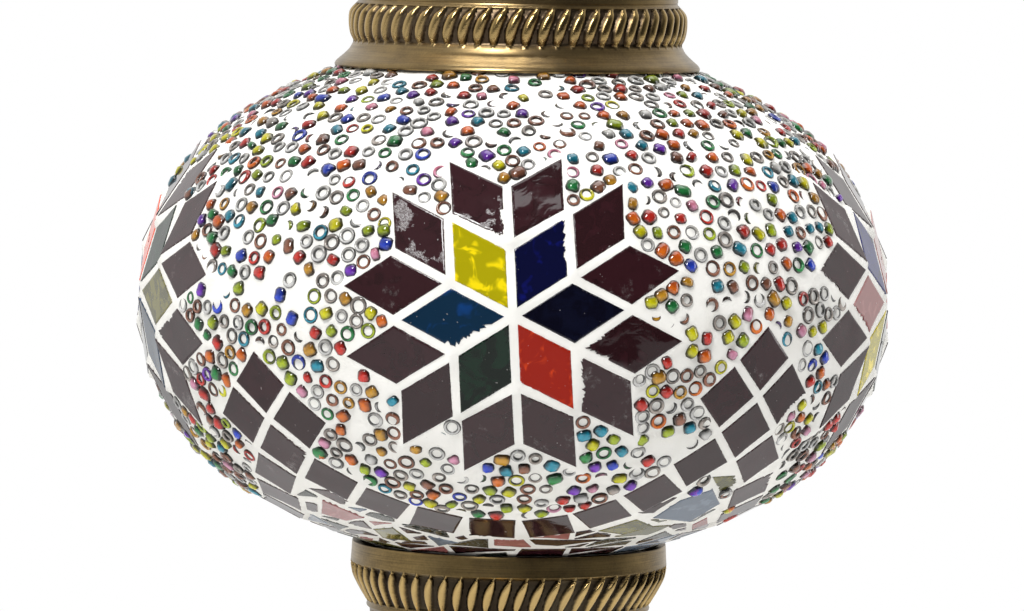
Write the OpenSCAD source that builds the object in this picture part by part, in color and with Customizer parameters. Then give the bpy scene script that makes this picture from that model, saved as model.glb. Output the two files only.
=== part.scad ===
// Mosaic glass table lamp: a glass globe in mosaic and grout, clamped on a brass foot, with a
// lift-off brass cap. Millimetres, +Z up, origin at the centre of the foot's underside.

/* [Globe] */
// Height of the globe's widest line above the table
equator_z = 235; // [215:1:260]
// Half the width of the finished globe
globe_r = 85; // [75:0.5:95]
// Height of the finished globe's pole above its widest line
pole_h = 60; // [54:0.5:68]
// Radius of the flat arcs over the top and bottom of the globe
crown_r = 114.5; // [105:0.5:130]
// Thickness of the blown glass
glass_t = 2.8; // [2:0.1:4]
// Radius of the opening in the top of the glass
mouth_r = 34.5; // [30:0.5:36]
// Radius of the hole for the lamp pipe in the bottom of the glass
foot_hole_r = 7; // [6.5:0.1:9]

/* [Mosaic] */
// Thickness of the grout that the tiles and beads are bedded in
grout_t = 2.2; // [1.8:0.1:3]
// Thickness of the glue between the glass and what is stuck to it
glue_t = 0.3; // [0.2:0.05:0.4]
// Thickness of the flat glass tiles
tile_t = 2; // [1.5:0.1:2.6]
// How far a tile's face stands out of the grout at half way to its corners
tile_rise = 0.35; // [0.1:0.05:0.8]
// Width of the grout line between two tiles
joint_w = 1.7; // [1.4:0.1:3]
// Gap between a tile's edge and the grout
tile_fit = 0.1; // [0.05:0.01:0.2]
// Side of a flower's rhombus, from line to line
petal_cell = 15; // [11:0.5:16]
// Side of a garland's square, from line to line
square_cell = 12; // [9:0.5:12.5]
// Height of the flowers' centres above the widest line, along the surface
flower_s = 2.2; // [-4:0.1:5]
// Lowest point of the garland below the widest line, along the surface
garland_low = 59; // [54:0.5:62]

/* [Foot] */
// Radius of the foot's rim
base_r = 64; // [55:1:80]
// Height of the foot above the table
base_h = 36; // [30:1:48]
// Height of the foot's upright rim
rim_h = 13; // [12.5:0.5:16]
// Thickness of the spun brass
brass_t = 1.2; // [0.8:0.1:2]
// Thickness of the felt
felt_t = 1.5; // [1:0.1:3]
// Radius of the foot's top face
base_top_r = 18; // [16:0.5:24]
// Radius of the hole that the cord passes
cord_bore_r = 3.4; // [2.5:0.1:4]

/* [Stem] */
// Radius of the lamp pipe
pipe_r = 5; // [4:0.1:6]
// Wall of the lamp pipe
pipe_wall = 1.1; // [0.8:0.1:1.5]
// Height of each turned collar in the stem
collar_h = 6; // [4:0.5:8]
// Height of the vase in the stem
vase_h = 56; // [40:1:64]
// Largest radius of the vase
vase_r = 22; // [16:0.5:28]
// Radius of the neck above the vase
neck_r = 9.5; // [8:0.5:12]

/* [Cup] */
// Radius of the cup's lip
lip_r = 35.8; // [33:0.1:38]
// Height of the cup's plain lip
lip_h = 5.2; // [3:0.1:7]
// Height of the fluted part of the cup
flute_h = 8.3; // [6:0.1:11]
// How far the cup draws in under its flutes
waist_in = 4.3; // [3:0.1:6]
// Height of the cup from its foot to its lip
cup_h = 38; // [34:0.5:44]
// Thickness of the cast cup
cup_t = 1.6; // [1.2:0.1:2.4]

/* [Cap] */
// Radius of the cap's skirt
skirt_r = 41.5; // [39.5:0.1:46]
// Radius of the roped ring
rope_r = 38.5; // [38:0.1:41]
// Radius of the band above the roped ring
band_r = 36.3; // [36:0.1:38]
// Height of the dome above the roped ring
dome_h = 30; // [26:0.5:40]
// Height of the finial above the dome
finial_h = 27; // [18:0.5:36]

/* [Bulb] */
// Radius of the bulb
bulb_r = 22.5; // [17:0.5:24]
// Radius of the bulb's screw cap
screw_r = 6.9; // [6.8:0.05:7]

/* [Fits] */
// Gap between curved faces that lie against each other
seat_gap = 0.3; // [0.2:0.05:0.4]
// Gap round the pipe in the bores that it passes
bore_fit = 0.1; // [0.05:0.01:0.2]

/* [Hidden] */
$fn = 96;

BRASS = [0.66, 0.52, 0.27];
STEEL = [0.72, 0.72, 0.74];
RUBBER = [0.12, 0.12, 0.12];
WHITE = [0.95, 0.94, 0.9];
DEG = 180 / PI;

// The globe's side is a small arc between two large ones, and touches both smoothly.
crown_z = crown_r - pole_h;
side_r = (crown_r * crown_r - globe_r * globe_r - crown_z * crown_z) / (2 * (crown_r - globe_r));
side_x = globe_r - side_r;
meet_a = atan2(crown_z, side_x);
meet_s = side_r * meet_a / DEG;
glass_out = grout_t + glue_t;
glass_in = glass_out + glass_t;

// Tilt of the surface, its distance from the axis and its height, at arc length s up from the
// widest line.
function crown_a(s) = meet_a + (abs(s) - meet_s) / crown_r * DEG;
function surf_a(s) = abs(s) < meet_s ? s / side_r * DEG : sign(s) * crown_a(s);
function surf_r(s) = abs(s) < meet_s ? side_x + side_r * cos(surf_a(s)) : crown_r * cos(surf_a(s));
function surf_z(s) = abs(s) < meet_s ? side_r * sin(surf_a(s)) : crown_r * sin(surf_a(s)) - sign(s) * crown_z;
// Height of the surface, d inside the finished one, at distance r from the axis
function crown_at(r, d = 0) = sqrt(pow(crown_r - d, 2) - r * r) - crown_z;

// Heights up the lamp
washer_z = 6.6;
stem_z = base_h;
vase_z = stem_z + collar_h;
middle_z = vase_z + vase_h;
neck_z = middle_z + collar_h;
cup_waist_r = lip_r - waist_in;
lip_z = equator_z - crown_at(lip_r - cup_t) - seat_gap;
cup_z = lip_z - cup_h;
top_collar_z = cup_z - collar_h;
flute_z = lip_z - lip_h;
waist_z = flute_z - flute_h;
cup_floor = cup_z + 2.5;
gasket_r = 14;
gasket_h = 3;
pole_out_z = equator_z - crown_at(0, glass_out);
pole_in_z = equator_z - crown_at(0, glass_in);
lower_gasket_z = pole_out_z - seat_gap - gasket_h;
upper_gasket_z = pole_in_z + gasket_h;
nut_z = upper_gasket_z + 1.4;
nut_h = 4.5;
holder_z = nut_z + nut_h + 0.3;
holder_h = 48;
holder_r = 14;
pipe_top = holder_z + 8;
bore_r = pipe_r + bore_fit;

// Bulb and screw shell: the tip stands just over the contact
shell_floor = holder_z + 20;
tip_z = shell_floor + 4;
cap_z = tip_z + 3.6;
cap_h = 16.5;
bulb_z = cap_z + cap_h + 29;
bulb_neck_z = cap_z + cap_h - 3;
bulb_wall = 0.8;

// Cap: the skirt rests on the mosaic round the mouth
skirt_z = equator_z + crown_at(skirt_r - brass_t) + seat_gap;
waist_r = rope_r - 1.1;
rope_z = skirt_z + 10.5;
ring_top_z = rope_z + 4.8;
dome_z = ring_top_z + 3;
dome_top = ring_top_z + dome_h;
dome_r = band_r;
clip_r = mouth_r - 0.6;

// Flowers, and the garland's peaks between them
flower_az = [0, 78, 146, 214, 282];
flower_turn = [3.5, -2, 4, 0, -3];
peak_az = [40.5, 112, 180, 248, 318.5];
peak_s = [-16, -20, -22, -19, -23.5];
petal_colours = [
    ["navy", "royal_blue", "yellow", "steel_blue", "green", "orange"],
    ["orange", "pink", "royal_blue", "pink", "yellow", "green"],
    ["steel_blue", "olive", "navy", "orange", "royal_blue", "yellow"],
    ["royal_blue", "yellow", "green", "navy", "pink", "steel_blue"],
    ["olive", "green", "orange", "royal_blue", "navy", "steel_blue"]
];
// Broken pieces under each peak: colour, then the corners, right and up from shard_drop
// under the peak's foot
shard_drop = 25;
shard_sets = [
    [
        ["blue_grey", [[0, 9], [9, 1], [6, -9], [-9, -5], [-7, 4]]],
        ["pink", [[10, -5], [17, -11], [12, -15], [8, -11]]],
        ["olive", [[-12, -4], [-3, -9], [-9, -15], [-19, -11]]],
        ["dark", [[2, -12], [10, -17], [-2, -20]]]
    ],
    [
        ["pink", [[0, 9], [8, 0], [-1, -4], [-8, 0]]],
        ["dark", [[-11, -2], [-2, -7], [-12, -12]]],
        ["olive", [[3, -6], [12, -3], [10, -14], [1, -13]]],
        ["pink", [[-10, -14], [0, -13], [-5, -18]]],
        ["blue_grey", [[16, -7], [23, -12], [13, -17]]]
    ]
];
shard_set_at = [0, 1, 0, 1, 1];

// ---------- shared shapes ----------

// Finished globe's outline, moved in by d, right of the axis
module oval(d) {
    intersection() {
        union() {
            intersection() {
                translate([0, -crown_z]) circle(crown_r - d, $fn = 720);
                translate([0, crown_z]) circle(crown_r - d, $fn = 720);
                translate([0, -globe_r]) square([side_x + (side_r - d) * cos(meet_a), 2 * globe_r]);
            }
            translate([side_x, 0]) circle(side_r - d, $fn = 360);
        }
        translate([0, -globe_r]) square([globe_r + 5, 2 * globe_r]);
    }
}

// Layer of the globe from d1 to d2 inside the finished surface, open at the top and bottom
module globe_layer(d1, d2, bottom_r) {
    translate([0, 0, equator_z]) rotate_extrude() difference() {
        oval(d1);
        oval(d2);
        square([mouth_r, globe_r]);
        translate([0, -globe_r]) square([bottom_r, globe_r]);
    }
}

module ring(r_in, r_out, z, h) {
    translate([0, 0, z]) difference() {
        cylinder(h = h, r = r_out);
        translate([0, 0, -1]) cylinder(h = h + 2, r = r_in);
    }
}

// Hexagon nut, size s across its flats
module hex_nut(z, h, s, bore) {
    translate([0, 0, z]) difference() {
        cylinder(h = h, r = s / 2 / cos(30), $fn = 6);
        translate([0, 0, -1]) cylinder(h = h + 2, r = bore);
    }
}

// Turned ring with one round bead between two fillets
module bead_collar(z, r, h) {
    rotate_extrude() difference() {
        union() {
            translate([0, z]) square([r - 2, h]);
            translate([r - h * 0.36, z + h / 2]) circle(h * 0.36);
        }
        translate([-1, z - 1]) square([1 + bore_r, h + 2]);
        translate([-50, z - 1]) square([50, h + 2]);
    }
}

// Points of a path moved sideways by d, along the mean normal of the two legs at each point
function leg(p, i) = let (q = p[min(i + 1, len(p) - 1)] - p[max(i - 1, 0)]) q / norm(q);
function beside(p, d) = [for (i = [0:len(p) - 1]) p[i] + d * [-leg(p, i)[1], leg(p, i)[0]]];
function backwards(p) = [for (i = [len(p) - 1:-1:0]) p[i]];

// Spun wall of thickness t inside an outline that runs upwards
module spun(outline, t) {
    rotate_extrude() polygon(concat(outline, backwards(beside(outline, t))));
}

// ---------- foot and stem ----------

base_low = felt_t;
base_outline = concat(
    [[base_r, base_low], [base_r, base_low + rim_h], [base_r - 1.5, base_low + rim_h + 1.5]],
    [for (i = [0:14]) let (t = i / 14) [
        base_top_r + 2 + (base_r - base_top_r - 6) * pow(1 - t, 2.2),
        base_low + rim_h + 2.5 + (base_h - base_low - rim_h - 4) * t
    ]],
    [[base_top_r, base_h]]
);

module felt_pad() {
    color([0.13, 0.2, 0.15]) cylinder(h = felt_t, r = base_r - 0.5);
}

module base_shell() {
    color(BRASS) difference() {
        union() {
            spun(base_outline, brass_t);
            ring(bore_r, base_top_r, base_h - brass_t, brass_t);
        }
        translate([0, base_r + 1, bush_z]) rotate([90, 0, 0])
            cylinder(h = brass_t + 5, r = bush_r + bore_fit);
    }
}

bush_r = cord_bore_r + 1.2;
bush_z = base_low + bush_r + 2;
bush_l = 10;
bush_out = sqrt(base_r * base_r - bush_r * bush_r);
weight_r = base_r - 16;
weight_h = 8;
pipe_hole_z = washer_z + 1.4 + 3;

module base_weight() {
    color([0.25, 0.25, 0.26]) difference() {
        union() {
            translate([0, 0, base_low]) cylinder(h = weight_h, r = weight_r);
            translate([0, 0, base_low]) cylinder(h = base_h - brass_t - base_low, r = base_top_r - 4);
        }
        translate([0, 0, -1]) cylinder(h = base_h + 2, r = bore_r);
        translate([0, 0, -1]) cylinder(h = washer_z + 1.4 + 1, r = 12.5);
        translate([0, 0, bush_z]) rotate([-90, 0, 0]) cylinder(h = base_r, r = cord_bore_r);
        translate([0, 0, pipe_hole_z]) rotate([-90, 0, 0]) cylinder(h = base_r, r = 3);
    }
}

module base_washer() {
    color(STEEL) ring(bore_r, 11, washer_z, 1.4);
}

module base_nut() {
    color(STEEL) hex_nut(washer_z - nut_h, nut_h, 16, bore_r);
}

// Bush for the cord: flush with the rim outside, with a flange behind the wall
module cord_inlet_bush() {
    color(RUBBER) translate([0, bush_out, bush_z]) rotate([90, 0, 0]) difference() {
        union() {
            cylinder(h = bush_l, r = bush_r);
            translate([0, 0, brass_t + 0.6]) cylinder(h = 2.5, r = bush_r + 1.4);
        }
        translate([0, 0, -1]) cylinder(h = bush_l + 2, r = cord_bore_r);
    }
}

module lamp_pipe() {
    color(STEEL) difference() {
        translate([0, 0, washer_z - nut_h]) cylinder(h = pipe_top - washer_z + nut_h, r = pipe_r);
        translate([0, 0, -1]) cylinder(h = pipe_top + 2, r = pipe_r - pipe_wall);
        translate([0, 0, pipe_hole_z]) rotate([-90, 0, 0]) cylinder(h = base_r, r = 2.5);
    }
}

module stem_foot_collar() {
    color(BRASS) bead_collar(stem_z, base_top_r - 1, collar_h);
}

// Vase: narrow foot, full belly above the middle, narrow top
function vase_at(t) = neck_r + (vase_r - neck_r) * pow(sin(180 * pow(t, 1.25)), 1.4);
module stem_vase() {
    steps = 26;
    color(BRASS) rotate_extrude() polygon(concat(
        [[bore_r, vase_z], [neck_r + 2.5, vase_z], [neck_r + 2.5, vase_z + 1.5]],
        [for (i = [1:steps - 1]) [vase_at(i / steps), vase_z + 1.5 + (vase_h - 3) * i / steps]],
        [[neck_r + 2, middle_z - 1.5], [neck_r + 2, middle_z], [bore_r, middle_z]]
    ));
}

module stem_middle_collar() {
    color(BRASS) bead_collar(middle_z, neck_r + 5, collar_h);
}

module stem_neck() {
    steps = 16;
    neck_h = top_collar_z - neck_z;
    color(BRASS) rotate_extrude() polygon(concat(
        [[bore_r, neck_z]],
        [for (i = [0:steps]) let (t = i / steps) [neck_r + 3.5 * pow(2 * t - 1, 2), neck_z + neck_h * t]],
        [[bore_r, top_collar_z]]
    ));
}

module stem_top_collar() {
    color(BRASS) bead_collar(top_collar_z, neck_r + 6, collar_h);
}

// ---------- cup and clamp ----------

cup_foot_r = neck_r + 4.5;
bowl_h = waist_z - cup_z - 3;
cup_outline = concat(
    [[cup_foot_r, cup_z]],
    [for (i = [1:9]) let (a = 10 * i) [
        cup_foot_r + (cup_waist_r - cup_foot_r) * sin(a),
        cup_z + 1 + bowl_h * (1 - cos(a))
    ]],
    [
        [cup_waist_r, waist_z - 1.6], [cup_waist_r + 0.8, waist_z - 0.8], [cup_waist_r + 1.2, waist_z],
        [lip_r - 0.8, waist_z + flute_h * 0.6], [lip_r + 0.3, flute_z - 0.4], [lip_r + 0.3, flute_z + 1],
        [lip_r, lip_z - 1], [lip_r, lip_z]
    ]
);

module globe_cup() {
    color(BRASS) union() {
        spun(cup_outline, cup_t);
        ring(bore_r, cup_foot_r, cup_z, 2.5);
    }
}

module cup_spacer() {
    color(STEEL) ring(bore_r, 9, cup_floor, lower_gasket_z - cup_floor);
}

module lower_glass_gasket() {
    color(RUBBER) rotate_extrude() difference() {
        translate([bore_r, lower_gasket_z]) square([gasket_r - bore_r, gasket_h + 3]);
        translate([0, equator_z]) oval(glass_out - seat_gap);
    }
}

module upper_glass_gasket() {
    color(RUBBER) rotate_extrude() intersection() {
        translate([bore_r, pole_in_z - 1]) square([gasket_r - bore_r, gasket_h + 1]);
        translate([0, equator_z]) oval(glass_in + seat_gap);
    }
}

module glass_washer() {
    color(STEEL) ring(bore_r, gasket_r - 1, upper_gasket_z, 1.4);
}

module glass_nut() {
    color(STEEL) hex_nut(nut_z, nut_h, 17, bore_r);
}

// ---------- globe ----------

module glass_globe() {
    color([0.95, 0.96, 0.94, 0.6]) globe_layer(glass_out, glass_in, foot_hole_r);
}

// Pockets that go right through the grout
module pockets(tiles) {
    for (t = tiles) tile_prism(t, -grout_t - 2, 3, tile_fit);
}

module grout_coat() {
    color(WHITE) difference() {
        difference() {
            difference() {
                globe_layer(0, grout_t, lip_r - cup_t - 2);
                pockets(petal_tiles);
            }
            pockets(border_tiles);
        }
        pockets(concat(peak_tiles, arm_squares, shard_tiles));
    }
}

// Direction in the unrolled surface
function dir(a) = [cos(a), sin(a)];
function spoke(f, k) = dir(60 * k + flower_turn[f]);
function rhombus(p, u, v) = [p, p + u, p + u + v, p + v];

// A tile is its colour, the azimuth and arc length of its anchor, and its corners' places
// right and up from there. The front of the lamp is at azimuth 0, towards -Y.
petal_tiles = [for (f = [0:4], k = [0:5]) [
    petal_colours[f][k], flower_az[f], flower_s,
    rhombus([0, 0], petal_cell * spoke(f, k - 0.5), petal_cell * spoke(f, k + 0.5))
]];
function border_pair(f, k, side) = let (
    notch = petal_cell * spoke(f, k + 0.5),
    out = petal_cell * spoke(f, k + 0.5 + side)
) side > 0 ? rhombus(notch, notch, out) : rhombus(notch, out, notch);
border_tiles = [for (f = [0:4], k = [0:5], side = [-1, 1]) [
    "plum", flower_az[f], flower_s, border_pair(f, k, side)
]];
function square_tile(p, a) = let (u = square_cell * dir(a), v = square_cell * dir(a + 90))
    rhombus(p - (u + v) / 2, u, v);
half_diagonal = square_cell / sqrt(2);
// A peak is four squares on their corners, and one on each side of the lowest: the garland
// hangs between those.
peak_places = [[0, 1], [1, 0], [-1, 0], [0, -1], [1, -2], [-1, -2]];
peak_tiles = [for (i = [0:4], p = peak_places) [
    "plum", peak_az[i], peak_s[i], square_tile(half_diagonal * p, 45)
]];
shoulder_s = [for (s = peak_s) s - 2 * half_diagonal];
shoulder_az = [for (s = shoulder_s) half_diagonal / surf_r(s) * DEG];

// Place at t, from -1 to 1, of the arm that hangs between peak i and the next
function arm_az(i, t) = let (
    n = (i + 1) % 5,
    a = peak_az[i] + shoulder_az[i],
    b = peak_az[n] - shoulder_az[n] + (n == 0 ? 360 : 0)
) (a + b) / 2 + (b - a) / 2 * t;
function arm_s(i, t) = let (top = shoulder_s[t < 0 ? i : (i + 1) % 5])
    -garland_low + (top + garland_low) * pow(abs(t), 2.3);
function arm_leg(i, t, e) = [
    (arm_az(i, t + e) - arm_az(i, t - e)) / DEG * surf_r(arm_s(i, t)),
    arm_s(i, t + e) - arm_s(i, t - e)
];
// The arm's length so far at even steps of t, for setting the tiles at even steps of length
arm_steps = 60;
function arm_run(i, j = 0, run = 0) = j > arm_steps ? [] : let (
    t = -1 + 2 * j / arm_steps
) concat([[run, t]], arm_run(i, j + 1, run + norm(arm_leg(i, t + 1 / arm_steps, 1 / arm_steps))));
function arm_places(i) = let (
    run = arm_run(i),
    length = run[arm_steps][0],
    n = floor(length / (square_cell * 1.02))
) [for (j = [1:n - 1]) lookup(length * j / n, run)];
arm_squares = [for (i = [0:4], t = arm_places(i)) let (leg = arm_leg(i, t, 0.02)) [
    "plum", arm_az(i, t), arm_s(i, t), square_tile([0, 0], atan2(leg[1], leg[0]))
]];
shard_tiles = [for (i = [0:4], s = shard_sets[shard_set_at[i]]) [
    s[0], peak_az[i], peak_s[i] - half_diagonal - shard_drop, s[1]
]];

function sum(v, i = 0) = i < len(v) - 1 ? v[i] + sum(v, i + 1) : v[i];
function on_globe(t, p) = let (s = t[2] + p[1]) [t[1] + p[0] / surf_r(s) * DEG, s];

// Corners of a tile, flat in the plane that touches the globe at the tile's middle c
function flat_corners(t, c) = let (r = surf_r(c[1]), z = surf_z(c[1]), a = surf_a(c[1])) [
    for (p = t[3]) let (q = on_globe(t, p), d = q[0] - c[0], rq = surf_r(q[1])) [
        rq * sin(d),
        (r - rq * cos(d)) * sin(a) + (surf_z(q[1]) - z) * cos(a)
    ]
];

// Outline with every side moved in by d
function unit(v) = v / norm(v);
function inward(p, i) = let (e = unit(p[(i + 1) % len(p)] - p[i])) [-e[1], e[0]];
function inset(p, d) = let (n = len(p)) [for (i = [0:n - 1]) let (
    a = inward(p, (i + n - 1) % n),
    b = inward(p, i)
) p[i] + d * (a + b) / (1 + a * b)];
function turned_left(p) = let (n = len(p)) sum([for (i = [0:n - 1])
    p[i][0] * p[(i + 1) % n][1] - p[i][1] * p[(i + 1) % n][0]]) > 0 ? p : backwards(p);

// Upright block of a tile's shape, from lo to hi above the touching plane
module tile_prism(t, lo, hi, grow = 0) {
    c = on_globe(t, sum(t[3]) / len(t[3]));
    corners = inset(turned_left(flat_corners(t, c)), joint_w / 2 - grow);
    rotate([0, 0, c[0] - 90])
        translate([surf_r(c[1]), 0, equator_z + surf_z(c[1])])
            rotate([0, 90 - surf_a(c[1]), 0])
                rotate([0, 0, 90])
                    translate([0, 0, lo])
                        linear_extrude(hi - lo) polygon(corners);
}

// A flat tile on the round globe lies lower at its middle and stands out at its corners.
module glass_tile(t) {
    c = on_globe(t, sum(t[3]) / len(t[3]));
    reach = max([for (p = flat_corners(t, c)) norm(p)]) - joint_w;
    top = tile_rise - reach * reach / (8 * side_r);
    lo = max(top - tile_t, seat_gap / 2 - glass_out);
    tile_prism(t, lo, top);
}

module tiles_of(list, name) {
    for (t = list) if (t[0] == name) glass_tile(t);
}

module petals_royal_blue() {
    color([0.02, 0.05, 0.55]) tiles_of(petal_tiles, "royal_blue");
}

module petals_navy() {
    color([0.02, 0.03, 0.1]) tiles_of(petal_tiles, "navy");
}

module petals_orange() {
    color([0.85, 0.2, 0.04]) tiles_of(petal_tiles, "orange");
}

module petals_green() {
    color([0.02, 0.1, 0.06]) tiles_of(petal_tiles, "green");
}

module petals_steel_blue() {
    color([0.1, 0.25, 0.38]) tiles_of(petal_tiles, "steel_blue");
}

module petals_yellow() {
    color([0.75, 0.6, 0.1]) tiles_of(petal_tiles, "yellow");
}

module petals_olive() {
    color([0.35, 0.36, 0.14]) tiles_of(petal_tiles, "olive");
}

module petals_pink() {
    color([0.68, 0.42, 0.45]) tiles_of(petal_tiles, "pink");
}

module flower_border_tiles() {
    color([0.25, 0.12, 0.15]) tiles_of(border_tiles, "plum");
}

module garland_peak_tiles() {
    color([0.25, 0.12, 0.15]) tiles_of(peak_tiles, "plum");
}

module garland_arm_tiles() {
    color([0.25, 0.12, 0.15]) tiles_of(arm_squares, "plum");
}

module shards_pink() {
    color([0.68, 0.42, 0.45]) tiles_of(shard_tiles, "pink");
}

module shards_olive() {
    color([0.35, 0.36, 0.14]) tiles_of(shard_tiles, "olive");
}

module shards_dark() {
    color([0.06, 0.08, 0.06]) tiles_of(shard_tiles, "dark");
}

module shards_blue_grey() {
    color([0.4, 0.46, 0.55]) tiles_of(shard_tiles, "blue_grey");
}

// ---------- bulb holder ----------

module holder_cap() {
    color([0.1, 0.1, 0.1]) rotate_extrude() polygon([
        [bore_r, holder_z], [holder_r - 4, holder_z], [holder_r, holder_z + 4],
        [holder_r, holder_z + 14], [holder_r - 1.8, holder_z + 14], [holder_r - 1.8, holder_z + 5],
        [bore_r, holder_z + 4]
    ]);
}

module holder_shell() {
    color([0.1, 0.1, 0.1]) rotate_extrude() polygon([
        [holder_r - 1.6, holder_z + 14], [holder_r, holder_z + 14],
        [holder_r, holder_z + holder_h - 5],
        [holder_r - 1, holder_z + holder_h], [screw_r + 2.4, holder_z + holder_h],
        [screw_r + 2.4, holder_z + holder_h - 1.6], [holder_r - 2.4, holder_z + holder_h - 1.6],
        [holder_r - 1.6, holder_z + holder_h - 5]
    ]);
}

core_z = shell_floor - 5;
core_top = holder_z + holder_h - 4;
module holder_core() {
    color(WHITE) difference() {
        translate([0, 0, core_z]) cylinder(h = core_top - core_z, r = holder_r - 1.9);
        translate([0, 0, shell_floor]) cylinder(h = core_top, r = screw_r + 1.1);
        for (side = [-1, 1]) translate([side * 8.5, 0, core_z - 1]) cylinder(h = 5, r = 1.7);
    }
}

module screw_shell() {
    color(BRASS) difference() {
        translate([0, 0, shell_floor]) cylinder(h = core_top - shell_floor - 1, r = screw_r + 0.8);
        translate([0, 0, shell_floor + 0.5]) cylinder(h = core_top, r = screw_r + 0.3);
        translate([0, 0, shell_floor - 1]) cylinder(h = 3, r = 4);
    }
}

// Spring tab under the bulb's tip: an upright foot and a flat tongue
module centre_contact() {
    color(BRASS) union() {
        translate([-3, -1.5, shell_floor]) cube([0.5, 3, tip_z - shell_floor - 0.8]);
        translate([-3, -1.5, tip_z - 0.8]) cube([5.5, 3, 0.5]);
        translate([-3, -1.5, shell_floor]) cube([4, 3, 0.5]);
    }
}

module terminal_screws() {
    color(STEEL) for (side = [-1, 1]) translate([side * 8.5, 0, 0]) {
        translate([0, 0, core_z - 2]) cylinder(h = 1.8, r = 2.6);
        translate([0, 0, core_z - 2]) cylinder(h = 5, r = 1.6);
    }
}

// ---------- bulb ----------

// Bulb's outline, moved in by d: a ball on a cone that runs down into the screw cap
module bulb_outline(d) {
    hip = 32;
    intersection() {
        union() {
            translate([0, bulb_z]) circle(bulb_r - d);
            polygon([
                [0, bulb_neck_z - 1], [screw_r - 1.1 - d, bulb_neck_z - 1],
                [screw_r - 1.1 - d, cap_z + cap_h],
                [(bulb_r - d) * cos(hip), bulb_z - (bulb_r - d) * sin(hip)], [0, bulb_z]
            ]);
        }
        translate([0, bulb_neck_z + (d > 0 ? -1 : 0)]) square([bulb_r + 1, 100]);
    }
}

module bulb_glass() {
    color([0.97, 0.97, 0.95, 0.5]) rotate_extrude() difference() {
        bulb_outline(0);
        bulb_outline(bulb_wall);
    }
}

module bulb_cap() {
    color([0.8, 0.8, 0.78]) rotate_extrude() polygon([
        [screw_r - 0.4, cap_z], [screw_r, cap_z + 1], [screw_r, cap_z + cap_h],
        [screw_r - 0.7, cap_z + cap_h], [screw_r - 0.7, cap_z + 1.2],
        [screw_r - 2.2, cap_z + 0.5], [screw_r - 2.2, cap_z]
    ]);
}

module bulb_insulator() {
    color([0.06, 0.05, 0.05]) rotate_extrude() polygon([
        [0, tip_z + 1.2], [2.6, tip_z + 1.2], [4.5, cap_z - 0.3], [screw_r - 2.5, cap_z],
        [screw_r - 2.5, cap_z + 1.5], [0, cap_z + 1.5]
    ]);
}

module bulb_tip_contact() {
    color(STEEL) translate([0, 0, tip_z]) cylinder(h = 1.2, r = 2.4);
}

stem_top = bulb_z + 8;
module bulb_stem() {
    color([0.95, 0.96, 0.95, 0.6]) union() {
        translate([0, 0, cap_z + 1.5]) cylinder(h = bulb_neck_z + 4 - cap_z - 1.5, r = 3.4);
        translate([0, 0, bulb_neck_z + 4]) cylinder(h = stem_top - bulb_neck_z - 4, r = 1.2);
        translate([0, 0, stem_top]) sphere(1.8);
    }
}

module bulb_filaments() {
    color([0.95, 0.75, 0.3]) for (i = [0:3]) rotate([0, 0, 90 * i + 45])
        translate([3, 0, stem_top - 26]) rotate([0, 3, 0]) cylinder(h = 25, r = 0.9);
}

// ---------- cap ----------

rivet_z = rope_z + 1.5;
collar_in = band_r - brass_t;
module cap_collar() {
    color(BRASS) difference() {
        rotate_extrude() difference() {
            union() {
                polygon([
                    [skirt_r - brass_t, skirt_z], [skirt_r, skirt_z], [skirt_r - 0.3, skirt_z + 1],
                    [skirt_r - 2, skirt_z + 2.4], [waist_r + 0.5, skirt_z + 4.2], [waist_r, skirt_z + 5.4],
                    [waist_r, rope_z], [band_r, ring_top_z - 0.6], [band_r, ring_top_z],
                    [collar_in, ring_top_z], [collar_in, skirt_z + 5],
                    [skirt_r - brass_t - 2.6, skirt_z + 3], [skirt_r - brass_t, skirt_z + 1]
                ]);
                translate([rope_r - 3, rope_z]) circle(3);
            }
            translate([0, skirt_z - 1]) square([collar_in, 40]);
        }
        at_clips() rotate([0, 90, 0]) cylinder(h = 60, r = 1.05);
    }
}

module at_clips() {
    for (i = [0:2]) rotate([0, 0, 120 * i + 30]) translate([0, 0, rivet_z]) children();
}

module cap_clips() {
    foot_z = equator_z + crown_at(mouth_r, glass_in) - 4;
    step_z = skirt_z + 7;
    color(BRASS) difference() {
        for (i = [0:2]) rotate([0, 0, 120 * i + 30]) rotate_extrude(angle = 14, start = -7) {
            translate([collar_in - seat_gap - 0.8, step_z]) square([0.8, ring_top_z - 2 - step_z]);
            translate([clip_r - 0.8, step_z]) square([collar_in - seat_gap - clip_r + 0.8, 0.8]);
            translate([clip_r - 0.8, foot_z]) square([0.8, step_z + 0.8 - foot_z]);
        }
        at_clips() rotate([0, 90, 0]) cylinder(h = 60, r = 1.05);
    }
}

module clip_rivets() {
    color(STEEL) at_clips() rotate([0, 90, 0]) {
        translate([0, 0, collar_in - seat_gap - 1.8]) cylinder(h = 0.9, r = 2);
        translate([0, 0, collar_in - seat_gap - 1.8]) cylinder(h = waist_r - collar_in + 1.4, r = 1);
    }
}

// Dome: a short upright band, then a round crown that is flat on top for the finial
dome_flat_r = 7;
crown_side = dome_top - dome_z;
function dome_wall(d) = concat(
    [[dome_r - d, ring_top_z]],
    [for (a = [0:6:78]) [
        dome_flat_r + (dome_r - dome_flat_r) * cos(a) - d * cos(a),
        dome_z + crown_side * sin(a) - d * sin(a)
    ]],
    [[dome_flat_r, dome_top - d], [screw_hole_r, dome_top - d]]
);
screw_hole_r = 2.2;
vent_r = 2.2;
module cap_dome() {
    color(BRASS) difference() {
        rotate_extrude() polygon(concat(dome_wall(0), backwards(dome_wall(brass_t))));
        for (i = [0:11], row = [0, 1]) rotate([0, 0, 30 * i + 15 * row])
            translate([0, 0, dome_z]) rotate([0, 90 - (24 + 22 * row), 0])
                translate([0, 0, dome_r - 16]) cylinder(h = 30, r = vent_r - 0.4 * row);
    }
}

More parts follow.
